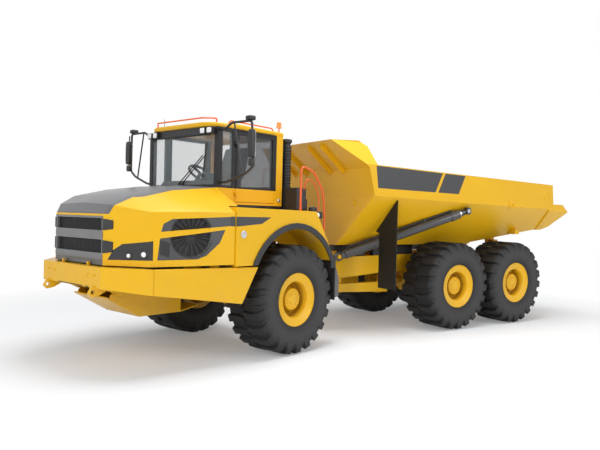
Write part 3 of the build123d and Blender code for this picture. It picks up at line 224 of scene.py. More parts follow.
def hoodPaint():
    # yellow hood with the gray panel along its top: widest at the windscreen, narrowing to the nose. The
    # panel and the sill take a lighter gray than the stripe's charcoal: the dark paint with a painted
    # highlight
    paint = Paint("hoodYellow")
    x, y, z = paint.unitAxes("front")
    side = y.absolute()
    half, stripe, sill = hoodPanel["half"], hoodPanel["stripe"], hoodPanel["sill"]
    for station, slope in hoodPanel["narrows"]:
        half = half - ((x - station) * slope).clamped()
    panel = side.below(half, hoodPanel["soft"]) * z.above(hoodPanel["level"], hoodPanel["soft"])
    front = x.above(sill["start"]) * z.below(sill["high"]) * side.below(sill["side"])
    pale = (panel + front).clamped()
    end = x.below(stripe["end"]) * z.between(stripe["low"], stripe["high"]) * side.above(stripe["side"])
    return paintedYellow(paint, (pale + end).clamped(), paint.mix(pale, tones["charcoal"], tones["hoodGreyHighlit"]))


# Fender paint: the stripe's lower edge rises slowly from the first station back and faster from the second
fenderStripe = {
    "slow": (2.43, 0.08), "fast": (1.94, 0.42), "low": 1.872, "high": 2.005, "end": 1.60, "side": 1.385,
}


def fenderPaint():
    # the side's dark stripe ends here in a long point
    paint = Paint("fenderYellow")
    x, y, z = paint.unitAxes("front")
    (slowStart, slow), (fastStart, fast) = fenderStripe["slow"], fenderStripe["fast"]
    level = z - (slowStart - x) * slow - ((fastStart - x) * fast).clamped()
    stripe = level.above(fenderStripe["low"]) * z.below(fenderStripe["high"]) * x.above(fenderStripe["end"])
    return paintedYellow(paint, stripe * y.absolute().above(fenderStripe["side"]))


cabBands = {"sill": 2.405, "pillar": 1.045, "line": 2.175, "lineEnd": 2.2, "soft": 0.004}


def cabPaint():
    # black above the sill and ahead of the rear pillar, and black under the floor line; the rest is yellow
    paint = Paint("cabYellow")
    x, y, z = paint.unitAxes("front")
    dark = z.above(cabBands["sill"], cabBands["soft"]) * x.above(cabBands["pillar"], cabBands["soft"])
    line = z.below(cabBands["line"], cabBands["soft"]) * x.below(cabBands["lineEnd"])
    return paintedYellow(paint, (dark + line).clamped(), tones["black"])


# Body paint: the panels' edges. Top, bottom and front lean by the first value of their pair.
bodyPanels = {
    "lean": (2.51, 0.50), "top": (0.0228, 2.912), "bottom": (0.012, 2.535), "front": (0.13, -1.262),
    "gap": (-2.350, -2.283), "rear": -2.890, "side": 1.445, "soft": 0.006,
}


def bodyPaint():
    # the dump body's yellow, with two bare charcoal panels on each side's upright band
    paint = Paint("bodyYellow")
    x, y, z = paint.unitAxes("rear")
    (topLean, top), (bottomLean, bottom) = bodyPanels["top"], bodyPanels["bottom"]
    (frontLean, front), (middle, lean) = bodyPanels["front"], bodyPanels["lean"]
    (gapRear, gapFront), soft = bodyPanels["gap"], bodyPanels["soft"]
    slanted = x + (z - middle) * lean
    band = (z - x * topLean).below(top, soft) * (z - x * bottomLean).above(bottom, soft)
    first = slanted.above(gapFront, soft) * (x - z * frontLean).below(front, soft)
    second = slanted.between(bodyPanels["rear"], gapRear, soft)
    return paintedYellow(paint, (first + second).clamped() * band * y.absolute().above(bodyPanels["side"]))


def glassPaint(name, tint, cover):
    # tinted glass with a faint smear in its gloss
    paint = Paint(name)
    return paint.set(Base_Color=tint, Roughness=0.02 + paint.noise(2.5, 4.0) * 0.05, Alpha=cover, IOR=1.45,
                     Specular_IOR_Level=0.7)


# Wheels: each row's axle station, and the sizes that tyres, rims, arches and their paints share. The painted
# sheen on the sidewall is a ring with a radius and a half width. The rim's painted shade darkens it inward
# from a depth, by a rate and up to a share, and the hub's face stays bright.
wheels = {
    "radius": 0.805, "halfTrack": 1.108, "rows": {"front": 1.210, "middle": -2.965, "rear": -4.635},
    "paintedSheen": (0.575, 0.16), "shade": {"most": 0.62, "start": 0.285, "rate": 9.0, "face": 0.232, "soft": 0.012},
}


def rimPaint(unit):
    # the rim's yellow, with painted shade that makes it darker and browner down in its well, by the depth
    # from the flange
    paint = Paint(f"rimYellow_{unit}")
    shade = wheels["shade"]
    depth = paint.unitAxes(unit)[1].absolute() - wheels["halfTrack"]
    wellShade = shade["most"] * ((shade["start"] - depth) * shade["rate"]).clamped()
    return paintedYellow(paint, wellShade * depth.below(shade["face"], shade["soft"]), tones["wellShade"])


def tyrePaint(unit):
    # rubber, black on the tread with random patches of wear, and greyer in a broad ring on the sidewall that
    # is a painted sheen. The unit's axles stand at a middle plus and minus half; the ring's share is 1 less
    # the square of the distance from its radius
    paint = Paint(f"tyreRubber_{unit}")
    axles = [station for row, station in wheels["rows"].items() if (row == "front") == (unit == "front")]
    middle, half = (axles[0] + axles[-1]) / 2, (axles[0] - axles[-1]) / 2
    x, y, z = paint.unitAxes(unit)
    along, up = ((x - middle).absolute() - half).absolute(), z - wheels["radius"]
    ringRadius, ringWidth = wheels["paintedSheen"]
    offset = ((along * along + up * up).root() - ringRadius) / ringWidth
    # the ring is painted sheen: the sidewall made lighter where it catches the light
    ring = (1.0 - offset * offset).clamped()
    wear = paint.noise(7.0, 5.0)
    pale = (wear * 0.35 + ring * 0.65).clamped()
    return paint.set(Base_Color=paint.mix(pale, tones["pit"], tones["sidewall"]),
                     Roughness=0.56 + wear * 0.20, Specular_IOR_Level=0.4,
                     Normal=paint.bump(paint.noise(140.0, 3.0) + wear, 0.25, 0.003))


# Side vents: the hood's plan, the fan's circle, and each panel's top and bottom edge as stations and levels.
# The pocket is a small opening painted dark with the mesh as its shade, between two stations and two levels
# that lean with the station.
vents = {
    "plan": [(2.265, 1.400), (3.000, 1.275), (3.560, 1.110), (3.800, 0.690)], "fan": (3.035, 1.756, 0.272),
    "sink": 0.045, "blades": 19, "ridge": 0.022, "back": 0.012, "grid": (170, 40), "meshWave": 520.0,
    "pocket": {"from": 3.318, "to": 3.440, "lean": 0.35, "low": 0.318, "high": 0.500},
    "upper": ([2.475, 3.290, 3.400, 3.430], [2.000, 1.960, 1.900, 1.800], [2.475, 3.430], [1.880, 1.800]),
    "lower": ([2.560, 3.440, 3.470], [1.830, 1.720, 1.450], [2.560, 2.640, 2.830, 2.960, 3.470],
              [1.830, 1.660, 1.500, 1.455, 1.450]),
    "rings": {"upper": (22, 158), "lower": (196, 352)},
}


def ventPaint():
    # charcoal panel, with black mesh inside the fan's circle; the pocket, an opening, takes the same dark
    # mesh as painted shade. The mesh is one sine wave times another
    paint = Paint("ventPanel")
    x, y, z = paint.unitAxes("front")
    fanX, fanZ, radius = vents["fan"]
    across, up, pocket = x - fanX, z - fanZ, vents["pocket"]
    pocketShade = x.between(pocket["from"], pocket["to"], 0.004)
    pocketShade = pocketShade * (z - x * pocket["lean"]).between(pocket["low"], pocket["high"], 0.004)
    inside = ((across * across + up * up).root().below(radius - 0.006, 0.006) + pocketShade).clamped()
    mesh = (x * vents["meshWave"]).sine() * (z * vents["meshWave"]).sine()
    tone = paint.mix(mesh.above(0.0, 0.8) * 0.8, tones["pit"], tones["wire"])
    return paint.set(Base_Color=paint.mix(inside, tones["charcoal"], tone), Roughness=0.42 + inside * 0.2,
                     Normal=paint.bump(mesh * inside + paint.noise(120.0, 2.0) * 0.3, 0.35, 0.003))


materials = {
    "yellow": paintedYellow(Paint("truckYellow")),
    "hood": hoodPaint(),
    "cab": cabPaint(),
    "body": bodyPaint(),
    "fender": fenderPaint(),
    "vent": ventPaint(),
    "rimFront": rimPaint("front"),
    "rimRear": rimPaint("rear"),
    "tyreFront": tyrePaint("front"),
    "tyreRear": tyrePaint("rear"),
    # the grille's bars: their dark paint made a lighter grey, as a painted highlight
    "bars": plainPaint("barGreyHighlit", (0.165, 0.166, 0.171), 0.34, coat=0.2),
    "flap": plainPaint("flapRubber", (0.007, 0.007, 0.007), 0.60),
    "cylinder": plainPaint("cylinderGrey", (0.060, 0.061, 0.064), 0.34, coat=0.3),
    "charcoal": plainPaint("charcoalPaint", tones["charcoal"], 0.42, coat=0.15),
    "black": plainPaint("blackPlastic", (0.020, 0.020, 0.022), 0.48),
    "gloss": plainPaint("blackGloss", tones["black"], 0.16, coat=0.5),
    "rubber": plainPaint("mouldedRubber", (0.026, 0.026, 0.028), 0.62, grain=160.0),
    "orange": plainPaint("orangeRail", (0.90, 0.13, 0.012), 0.34, coat=0.2),
    "chrome": plainPaint("hardChrome", (0.75, 0.75, 0.76), 0.12, metallic=1.0, spread=0.08),
    "silver": plainPaint("brightPlating", (0.62, 0.62, 0.64), 0.22, metallic=0.8, spread=0.08),
    "steel": plainPaint("darkSteel", (0.16, 0.16, 0.165), 0.42, metallic=0.6),
    "glass": glassPaint("cabGlass", (0.50, 0.58, 0.61), 0.15),
    "doorGlass": glassPaint("doorGlass", (0.055, 0.065, 0.075), 0.58),
    "lamp": plainPaint("lampGlass", (0.90, 0.91, 0.92), 0.10, coat=0.6, spread=0.05),
    "amber": plainPaint("amberLens", (0.95, 0.26, 0.015), 0.15, coat=0.6, spread=0.08),
    "red": plainPaint("redLens", (0.50, 0.015, 0.01), 0.15, coat=0.6, spread=0.08),
    "fabric": plainPaint("seatCloth", (0.035, 0.036, 0.040), 0.85, grain=420.0, grainDepth=0.0015),
    "engine": plainPaint("engineGrey", (0.10, 0.10, 0.105), 0.55),
}
print("materials ready")

# Which nodes take each finish, by the start of their names: the first that fits, and yellow for the rest
finishes = {
    "tyreFront": ["tyre_front"], "tyreRear": ["tyre"], "rimFront": ["rim_front"], "rimRear": ["rim"],
    "hood": ["hood"], "cab": ["cab_shell", "cab_door"], "glass": ["cab_glass"], "doorGlass": ["door_glass"],
    "body": ["dump_body"], "fender": ["fender_left", "fender_right"], "red": ["tail_lamps"],
    "steel": ["steps", "propeller"], "rubber": ["fender_lips"], "flap": ["mud_flaps"], "fabric": ["seat"],
    "black": ["cab_mounts", "mirrors", "roof_lamps", "rear_deck", "dashboard"], "amber": ["beacon"],
    "orange": ["handrails", "roof_rail"], "chrome": ["hoist_rod", "steering_rod"], "gloss": ["headlamps"],
    "charcoal": ["side_vents", "grille", "hoist_barrel", "steering_barrel"], "engine": ["engine", "gearbox"],
}


def finishOf(node):
    fitting = [finish for finish, starts in finishes.items() if node.startswith(tuple(starts))]
    return fitting[0] if fitting else "yellow"


def coat(piece, finish):
    piece.data.materials.clear()
    piece.data.materials.append(materials[finish])


def finished(name, mesh, finish, body, bevel, angle, stands):
    # a mesh as a finished piece that rides on a body: edges over an angle are rounded, so that they catch the
    # light, and the nodes that it stands for are hidden
    piece = bpy.data.objects.new(name, mesh)
    bpy.context.scene.collection.objects.link(piece)
    if bevel:
        edges = piece.modifiers.new("edges", "BEVEL")
        edges.width, edges.segments = bevel, 2
        edges.limit_method, edges.angle_limit = "ANGLE", math.radians(angle)
        piece.modifiers.new("shading", "WEIGHTED_NORMAL").keep_sharp = True
    coat(piece, finish)
    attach(piece, body)
    if stands:
        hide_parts(*stands)


def softened(node, width):
    # the node's own form with its edges rounded
    mesh = nodes[node].data.copy()
    mesh.materials.clear()
    work = bmesh.new()
    work.from_mesh(mesh)
    bmesh.ops.remove_doubles(work, verts=work.verts, dist=2e-5)
    bmesh.ops.dissolve_limit(work, angle_limit=math.radians(1.0), verts=work.verts, edges=work.edges,
                             delimit={"NORMAL"})
    work.to_mesh(mesh)
    work.free()
    mesh.shade_smooth()
    finished(f"{node}_shell", mesh, finishOf(node), bodyOf[node], width, 28, [node])


for node, piece in nodes.items():
    coat(piece, finishOf(node))

# Nodes that keep their form, by the width of their rounded edges
edgeWidths = {
    0.002: ["mud_flaps"],
    0.003: ["steps", "headlamps", "belly_plate"],
    0.004: ["axle_front", "axle_middle", "axle_rear", "roof_lamps"],
    0.006: ["cab_door", "fender_lips", "rear_frame", "front_frame", "hitch", "bogie_beams", "rear_deck",
            "dashboard"],
    0.008: ["dump_body"],
    0.012: ["hood", "bumper", "skirts", "fender_left", "fender_right", "cab_shell"],
    0.02: ["cab_roof", "engine_block", "gearbox_block", "seat"],
}
for width, members in edgeWidths.items():
    for node in members:
        softened(node, width)
print("nodes softened")


# Surfaces from numpy arrays. A grid has rows and columns of points; a form gathers grids into one mesh.
def gridFaces(rows, cols, wrap):
    # quads between neighbouring rows and columns; wrap joins the last column to the first
    row = np.arange(rows - 1)[:, None] * cols
    col = np.arange(cols if wrap else cols - 1)[None, :]
    after = (col + 1) % cols
    corners = np.broadcast_arrays(row + col, row + after, row + cols + after, row + cols + col)
    return np.stack(corners, axis=-1).reshape(-1, 4)


def unitVector(values):
    values = np.asarray(values, float)
    return values / np.linalg.norm(values, axis=-1, keepdims=True)


def fullTurn(sides):
    # evenly spaced angles of one turn
    return np.linspace(0, 2 * np.pi, sides, endpoint=False)


class Form:
    def __init__(self):
        self.points, self.faces, self.count = [], [], 0

    def grid(self, points, wrap=True, capped=True):
        # rows x columns x 3 points; the end rows are closed by one face each
        rows, cols = points.shape[:2]
        self.faces += (gridFaces(rows, cols, wrap) + self.count).tolist()
        if capped:
            first, last = self.count, self.count + (rows - 1) * cols
            self.faces += [list(range(first + cols - 1, first - 1, -1)), list(range(last, last + cols))]
        self.points.append(np.asarray(points, float).reshape(-1, 3))
        self.count += rows * cols
        return self

    def turned(self, start, toward, profile, sides=32, capped=True):
        # a profile of (distance, radius) turned about the line from start toward a direction
        axis = unitVector(toward)
        across = unitVector(np.cross(axis, (0, 0, 1) if abs(axis[2]) < 0.9 else (1, 0, 0)))
        turn = fullTurn(sides)[None, :, None]
        circle = across * np.cos(turn) + np.cross(axis, across) * np.sin(turn)
        distance, radius = np.asarray(profile, float).T[:, :, None, None]
        return self.grid(np.asarray(start) + axis * distance + radius * circle, capped=capped)

    def tube(self, path, radius, across, sides=10):
        # a circle carried along a path; across is a direction that the path never runs along
        path = np.asarray(path, float)
        runs = unitVector(np.diff(path, axis=0))
        ahead = unitVector(np.concatenate([runs[:1], runs[:-1] + runs[1:], runs[-1:]]))
        first = unitVector(np.cross(ahead, across))
        second = np.cross(ahead, first)
        turn = fullTurn(sides)[None, :, None]
        circle = first[:, None] * np.cos(turn) + second[:, None] * np.sin(turn)
        return self.grid(path[:, None] + radius * circle)

    def plate(self, outline, thickness):
        # a flat outline of points carried along a thickness vector
        outline = np.asarray(outline, float)
        return self.grid(np.stack([outline, outline + np.asarray(thickness)]))

    def block(self, low, high):
        # an upright block between two corners, its plan outline carried upwards
        (x0, y0, z0), (x1, y1, z1) = low, high
        return self.plate([(x0, y0, z0), (x1, y0, z0), (x1, y1, z0), (x0, y1, z0)], (0, 0, z1 - z0))

    def pod(self, low, high, square=0.45, rows=14, cols=28):
        # a rounded box: an ellipsoid's two angles, with sines and cosines raised to a power under 1
        low, high = np.asarray(low, float), np.asarray(high, float)
        lift, turn = np.linspace(-np.pi / 2, np.pi / 2, rows)[:, None], fullTurn(cols)[None, :]
        power = lambda value: np.sign(value) * np.abs(value) ** square
        shape = [power(np.cos(lift)) * power(np.cos(turn)), power(np.cos(lift)) * power(np.sin(turn)),
                 power(np.sin(lift)) + 0 * turn]
        return self.grid((low + high) / 2 + np.stack(shape, axis=-1) * (high - low) / 2, capped=False)

    def made(self, name, finish, body, bevel=0.0, mirrored=False, stands=()):
        # the gathered mesh as one finished piece, in the unit that its body belongs to
        points, faces = np.concatenate(self.points), self.faces
        if mirrored:
            faces = faces + [[index + len(points) for index in face[::-1]] for face in faces]
            points = np.concatenate([points, points * (1, -1, 1)])
        mesh = bpy.data.meshes.new(name)
        unit = "front" if body.startswith(stance["frontBodies"]) else "rear"
        mesh.from_pydata(placed(points, unit).tolist(), [], faces)
        work = bmesh.new()
        work.from_mesh(mesh)
        bmesh.ops.remove_doubles(work, verts=work.verts, dist=1e-5)
        bmesh.ops.dissolve_degenerate(work, edges=work.edges, dist=1e-6)
        bmesh.ops.recalc_face_normals(work, faces=work.faces)
        work.to_mesh(mesh)
        work.free()
        mesh.shade_smooth()
        mesh.set_sharp_from_angle(angle=math.radians(35))
        finished(name, mesh, finish, body, bevel, 35, stands)


def rounded(points, bend, steps=7):
    # the path through the points with its corners rounded: at each, a quadratic curve between two points
    # that lie the bend's length before and after it
    points = np.asarray(points, float)
    corner, before, after = points[1:-1, None], points[:-2, None], points[2:, None]
    start = corner + unitVector(before - corner) * bend
    end = corner + unitVector(after - corner) * bend
    t = np.linspace(0, 1, steps)[None, :, None]
    arcs = (1 - t) ** 2 * start + 2 * t * (1 - t) * corner + t ** 2 * end
    return np.concatenate([points[:1], arcs.reshape(-1, 3), points[-1:]])


# Tyres: a turned carcass, and lugs that run from the middle of the tread over the shoulder. Outlines are
# (distance outward, radius); rings on the sidewall are (radius, height); a lug's middle sways as a sine.
tyre = {
    "lugs": 22, "sides": 110, "sway": 0.030, "cut": 0.016, "bevel": 0.005,
    "outline": [(0.2675, 0.319), (0.283, 0.352), (0.2955, 0.3945), (0.3335, 0.3955), (0.3400, 0.420),
                (0.350, 0.455), (0.3575, 0.500), (0.3615, 0.545), (0.3600, 0.600), (0.351, 0.655),
                (0.336, 0.705), (0.314, 0.742), (0.285, 0.757), (0.18, 0.762), (0.0, 0.763)],
    "rings": [(0.436, 0.005), (0.470, 0.003), (0.575, 0.002), (0.630, 0.007)], "ringWidth": 0.007,
    "lugFoot": [(0.010, 0.757), (0.030, 0.757), (0.100, 0.757), (0.170, 0.757), (0.240, 0.755),
                (0.290, 0.745), (0.316, 0.720), (0.330, 0.690), (0.342, 0.655), (0.349, 0.628)],
    "lugTop": [(0.016, 0.796), (0.034, 0.8035), (0.100, 0.8040), (0.170, 0.8040), (0.240, 0.8035),
               (0.300, 0.800), (0.337, 0.786), (0.356, 0.745), (0.3645, 0.690), (0.3630, 0.645)],
    "lugWidth": [0.038, 0.044, 0.052, 0.046, 0.048, 0.054, 0.056, 0.054, 0.050, 0.046],
}


def carcassProfile():
    # the outline from the bead over the sidewall to the tread's middle, then mirrored and closed. Each fine
    # ring on the sidewall adds a bell: e to the minus square of how far the radius is from the ring's own
    outline = np.array(tyre["outline"])
    length = np.concatenate([[0], np.cumsum(np.linalg.norm(np.diff(outline, axis=0), axis=1))])
    fine = np.sort(np.concatenate([length, np.linspace(length[4], length[10], 34)]))
    distance, radius = np.interp(fine, length, outline[:, 0]), np.interp(fine, length, outline[:, 1])
    for ring, height in tyre["rings"]:
        distance = distance + height * np.exp(-((radius - ring) / tyre["ringWidth"]) ** 2)
    half = np.stack([distance, radius], axis=1)
    return np.concatenate([half, half[-2::-1] * (-1, 1), half[:1]])


def lugRings(face):
    # one lug: stations run outward over the shoulder; each ring is four points, two low in the groove and
    # two on top, at a sideways distance turned into an angle at its radius
    foot, top, width = (np.array(tyre[key]) for key in ("lugFoot", "lugTop", "lugWidth"))
    reach = np.linspace(0, 1, len(foot))
    middle = tyre["sway"] * np.sin(np.pi * 1.6 * reach) * (1 - reach * 0.4)
    outline = np.stack([foot, top, top, foot], axis=1)
    across = np.stack([-width - tyre["cut"], -width, width, width + tyre["cut"]], axis=1) + middle[:, None]
    return outline[..., 0] * face, outline[..., 1], across / outline[..., 1] * face


def wheelCentre(row, side):
    return wheels["rows"][row], side * wheels["halfTrack"], wheels["radius"]


def makeTyre(row, sideName, side):
    centreX, centreY, centreZ = wheelCentre(row, side)
    form = Form().turned(wheelCentre(row, side), (0, side, 0), carcassProfile(), tyre["sides"], capped=False)
    pitch = 2 * np.pi / tyre["lugs"]
    for face in (1, -1):
        distance, radius, angle = lugRings(face)
        for index in range(tyre["lugs"]):
            turn = np.pi + angle + pitch * (index + 0.25 * face)
            form.grid(np.stack([centreX + radius * np.sin(turn), centreY + side * distance,
                                centreZ + radius * np.cos(turn)], axis=-1))
    node = f"tyre_{row}_{sideName}"
    form.made(f"{node}_tread", finishOf(node), f"wheel_{row}_{sideName}", bevel=tyre["bevel"], stands=[node])


# Rims: flange, sloping ring, deep well and hub in one turned profile of (distance, radius). Bolts are given
# by their number, ring, face, size and height, and the valve by its ring and face.
rim = {
    "sides": 72, "bolts": [(24, 0.213, 0.1155, 0.013, 0.016), (16, 0.118, 0.2490, 0.011, 0.010)],
    "valve": (0.262, 0.150), "valveProfile": [(0, 0.010), (0.05, 0.010), (0.052, 0.007), (0.075, 0.007)],
    "front": [(0.2960, 0.3900), (0.3000, 0.3930), (0.3290, 0.3930), (0.3330, 0.3890), (0.3330, 0.3830),
              (0.3290, 0.3795), (0.3230, 0.3790), (0.3200, 0.3740), (0.3020, 0.2780), (0.2970, 0.2690),
              (0.2880, 0.2640), (0.2000, 0.2590), (0.1250, 0.2540), (0.1160, 0.2450), (0.1150, 0.1850),
              (0.1200, 0.1770), (0.2220, 0.1660), (0.2360, 0.1600), (0.2450, 0.1500), (0.2495, 0.1400),
              (0.2495, 0.0950), (0.2440, 0.0920), (0.2440, 0.0840), (0.2510, 0.0800), (0.2540, 0.0700),
              (0.2550, 0.0002)],
    "back": [(0.0600, 0.0002), (0.0600, 0.2680), (-0.3250, 0.2940), (-0.3325, 0.3000), (-0.3325, 0.3900),
             (-0.2960, 0.3930), (-0.2710, 0.3190), (0.2710, 0.3190), (0.2960, 0.3900)],
}


def hexBolts(form, centre, side, number, ring, face, size, height):
    # a ring of six-sided bolt heads that stand on a face
    for turn in fullTurn(number):
        foot = (centre[0] + ring * math.sin(turn), centre[1] + side * face, centre[2] + ring * math.cos(turn))
        form.turned(foot, (0, side, 0), [(-0.004, size), (height * 0.8, size), (height, size * 0.8)], 6)


def makeRim(row, sideName, side):
    centre = wheelCentre(row, side)
    form = Form().turned(centre, (0, side, 0), rim["front"] + rim["back"], rim["sides"], capped=False)
    for bolts in rim["bolts"]:
        hexBolts(form, centre, side, *bolts)
    ring, face = rim["valve"]
    foot = (centre[0] + 0.7 * ring, centre[1] + side * face, centre[2] + 0.7 * ring)
    form.turned(foot, (0, side, 0), rim["valveProfile"], 10)
    node = f"rim_{row}_{sideName}"
    form.made(f"{node}_disc", finishOf(node), f"wheel_{row}_{sideName}", stands=[node])


for row in wheels["rows"]:
    for sideName, side in (("left", 1), ("right", -1)):
        makeTyre(row, sideName, side)
        makeRim(row, sideName, side)
print("wheels ready")

# Hoist cylinders, from the base pin to the rod's eye: barrel, collar, oil pipe on clips, rod, head and pin.
# Profiles are (distance, radius); an eye is its bore and its outside; the pipe's ends are (distance, rise).
hoist = {
    "base": (-0.745, 0.660, 1.335), "eye": (-3.165, 1.425, 2.199), "eyeHalf": 0.035,
    "baseEye": (0.0448, 0.076), "headEye": (0.036, 0.068), "rod": 0.052, "rodEnds": (0.070, 0.101),
    "barrel": [(0.050, 0.055), (0.056, 0.066), (0.118, 0.066), (0.124, 0.078), (0.130, 0.082),
               (2.300, 0.082), (2.304, 0.092), (2.400, 0.092), (2.404, 0.086), (2.486, 0.086),
               (2.490, 0.080), (2.490, 0.054)],
    "head": [(0.045, 0.040), (0.080, 0.040), (0.085, 0.058), (0.150, 0.058), (0.154, 0.052)],
    "pin": [(-0.034, 0.030), (0.036, 0.036), (0.042, 0.036), (0.045, 0.032)],
    "pipe": 0.019, "pipeLift": 0.104, "pipeEnds": [(0.21, 0.0738), (2.36, 0.086)],
    "clips": (0.55, 1.15, 1.75), "clipLength": 0.035,
    "clip": [(-0.03, 0.074), (0.03, 0.074), (0.026, 0.126), (-0.026, 0.126)],
}


def addEye(form, centre, bore, outside):
    # a ring round a pin that lies across the truck: its section turned about the pin
    half = hoist["eyeHalf"]
    section = [(-half, bore), (-half, outside), (half, outside), (half, bore), (-half, bore)]
    form.turned(centre, (0, 1, 0), section, 32, capped=False)


def makeHoist(sideName, side):
    base, eye = (np.array(hoist[end]) * (1, side, 1) for end in ("base", "eye"))
    barrelBody, rodBody = f"hoist_barrel_{sideName}", f"hoist_rod_{sideName}"
    ahead = unitVector(eye - base)
    up = unitVector(np.cross(np.cross(ahead, (0, 0, 1)), ahead))
    across = np.cross(ahead, up)
    barrel = Form().turned(base, ahead, hoist["barrel"], 40)
    addEye(barrel, base, *hoist["baseEye"])
    barrel.made(f"{barrelBody}_tube", "cylinder", barrelBody, stands=[barrelBody])
    (start, startRise), (end, endRise) = hoist["pipeEnds"]
    path = [(start, startRise), (start, hoist["pipeLift"]), (end, hoist["pipeLift"]), (end, endRise)]
    path = [base + ahead * distance + up * rise for distance, rise in path]
    pipe = Form().tube(rounded(path, 0.02, 5), hoist["pipe"], across)
    for distance in hoist["clips"]:
        foot = base + ahead * distance
        section = [foot + across * sideways + up * rise for sideways, rise in hoist["clip"]]
        pipe.plate(section, ahead * hoist["clipLength"])
    pipe.made(f"hoist_pipe_{sideName}", "black", barrelBody, bevel=0.002)
    near, far = hoist["rodEnds"]
    far = np.linalg.norm(eye - base) - far
    rod = Form().turned(base, ahead, [(near, hoist["rod"]), (far, hoist["rod"])], 36)
    rod.made(f"{rodBody}_bar", "chrome", rodBody, stands=[rodBody])
    head = Form().turned(eye, -ahead, hoist["head"], 32)
    addEye(head, eye, *hoist["headEye"])
    head.made(f"hoist_head_{sideName}", "gloss", rodBody)
    Form().turned(eye, (0, side, 0), hoist["pin"], 28).made(f"hoist_pin_{sideName}", "silver", rodBody)


for sideName, side in (("left", 1), ("right", -1)):
    makeHoist(sideName, side)
print("hoist cylinders ready")

# Grille: bowed bars and end posts, a fine mesh behind them, and the ears that wrap round the nose. The mesh's
# sheet, slats and rods lie at depths behind the face; an ear's plan is (station, half width).
grille = {
    "face": 3.872, "half": 0.5747, "low": 1.4243, "high": 1.9747, "bow": 0.010, "depth": 0.055, "post": 0.026,
    "openings": [(1.518, 1.682), (1.800, 1.945)], "sheet": (0.050, 0.044),
    "slats": (9, 0.034, 0.0035), "rods": (34, 0.030, 0.0028),
    "ear": [(3.8775, 0.566), (3.8775, 0.604), (3.815, 0.693), (3.806, 0.693)],
    "earTaper": [0.0, 0.0, 0.016, 0.016], "earDepth": (0.020, 0.012, 0),
}


def makeGrilleFrame():
    # each bar's section is bowed forward between its edges by half a sine wave, and carried across the nose
    face, half, back = grille["face"], grille["half"], grille["face"] - grille["depth"]
    form = Form()
    edges = [grille["low"], *grille["openings"][0], *grille["openings"][1], grille["high"]]
    level = np.linspace(0, 1, 9)
    bowed = face + 0.002 + grille["bow"] * np.sin(np.pi * level)
    for bottom, top in zip(edges[::2], edges[1::2]):
        front = np.stack([bowed, bottom + (top - bottom) * level], axis=1)
        section = np.concatenate([front, [(back, top), (back, bottom)]])
        form.grid(np.stack([np.insert(section, 1, y, axis=1) for y in (-half, half)]))
    for left, right in ((half - grille["post"], half), (-half, grille["post"] - half)):
        for bottom, top in grille["openings"]:
            form.block((back, left, bottom - 0.002), (face + 0.004, right, top + 0.002))
    form.made("grille_frame", "bars", "hood", bevel=0.003, stands=["grille"])


def makeGrilleMesh():
    # a dark sheet, with level slats and upright rods before it
    face, half = grille["face"], grille["half"]
    (back, front), (slats, slatDepth, slat) = grille["sheet"], grille["slats"]
    rods, rodDepth, rod = grille["rods"]
    ends = (-half + 0.022, half - 0.022)
    form = Form()
    for bottom, top in grille["openings"]:
        form.block((face - back, -half + 0.02, bottom - 0.004), (face - front, half - 0.02, top + 0.004))
        for level in np.linspace(bottom, top, slats + 2)[1:-1]:
            form.tube([(face - slatDepth, y, level) for y in ends], slat, (1, 0, 0), 6)
        for across in np.linspace(-half + 0.03, half - 0.03, rods):
            form.tube([(face - rodDepth, across, z) for z in (bottom, top)], rod, (1, 0, 0), 6)
    form.made("grille_mesh", "black", "hood")


def makeGrilleEars():
    # a plate along the plan of the nose, lower towards its end, and the same again a little further in
    plan, taper = np.array(grille["ear"]), np.array(grille["earTaper"])[:, None]
    form = Form()
    for bottom, top in grille["openings"]:
        levels = np.array([bottom + 0.004, top - 0.004]) + taper * (1, -1)
        outer = np.stack([plan[:, :1] + 0 * levels, plan[:, 1:] + 0 * levels, levels], axis=-1)
        form.grid(np.concatenate([outer, (outer - grille["earDepth"])[:, ::-1]], axis=1))
    form.made("grille_ears", "black", "hood", bevel=0.003, mirrored=True)


makeGrilleFrame()
makeGrilleMesh()
makeGrilleEars()

# Headlamps: two round lamps in each dark housing. The ring is (distance, radius beyond the lens), and the
# lens (distance, share of its radius).
headlamp = {
    "toward": (0.868, 0.496, 0.0), "lamps": [((3.698, 0.869, 1.500), 0.025), ((3.600, 1.041, 1.520), 0.032)],
    "ring": [(0, 0.030), (0.008, 0.029), (0.012, 0.026), (0.006, 0.020), (0.004, 0)],
    "lens": [(0.004, 1), (0.010, 0.94), (0.015, 0.7), (0.017, 0.35), (0.0175, 0)], "tip": 0.0002,
}


def makeHeadlamps():
    rings, lenses = Form(), Form()
    toward = unitVector(headlamp["toward"])
    for place, radius in headlamp["lamps"]:
        start = np.array(place) - toward * 0.004
        ring = [(distance, radius + beyond) for distance, beyond in headlamp["ring"]]
        lens = [(distance, max(radius * share, headlamp["tip"])) for distance, share in headlamp["lens"]]
        rings.turned(start, toward, ring, 36)
        lenses.turned(start, toward, lens, 30)
    rings.made("headlamp_rings", "gloss", "hood", mirrored=True)
    lenses.made("headlamp_lenses", "lamp", "hood", mirrored=True)


makeHeadlamps()


def hoodSide(x):
    # the hood's half width at a station, along its side's plan outline
    plan = np.array(vents["plan"])
    return np.interp(x, plan[:, 0], plan[:, 1])


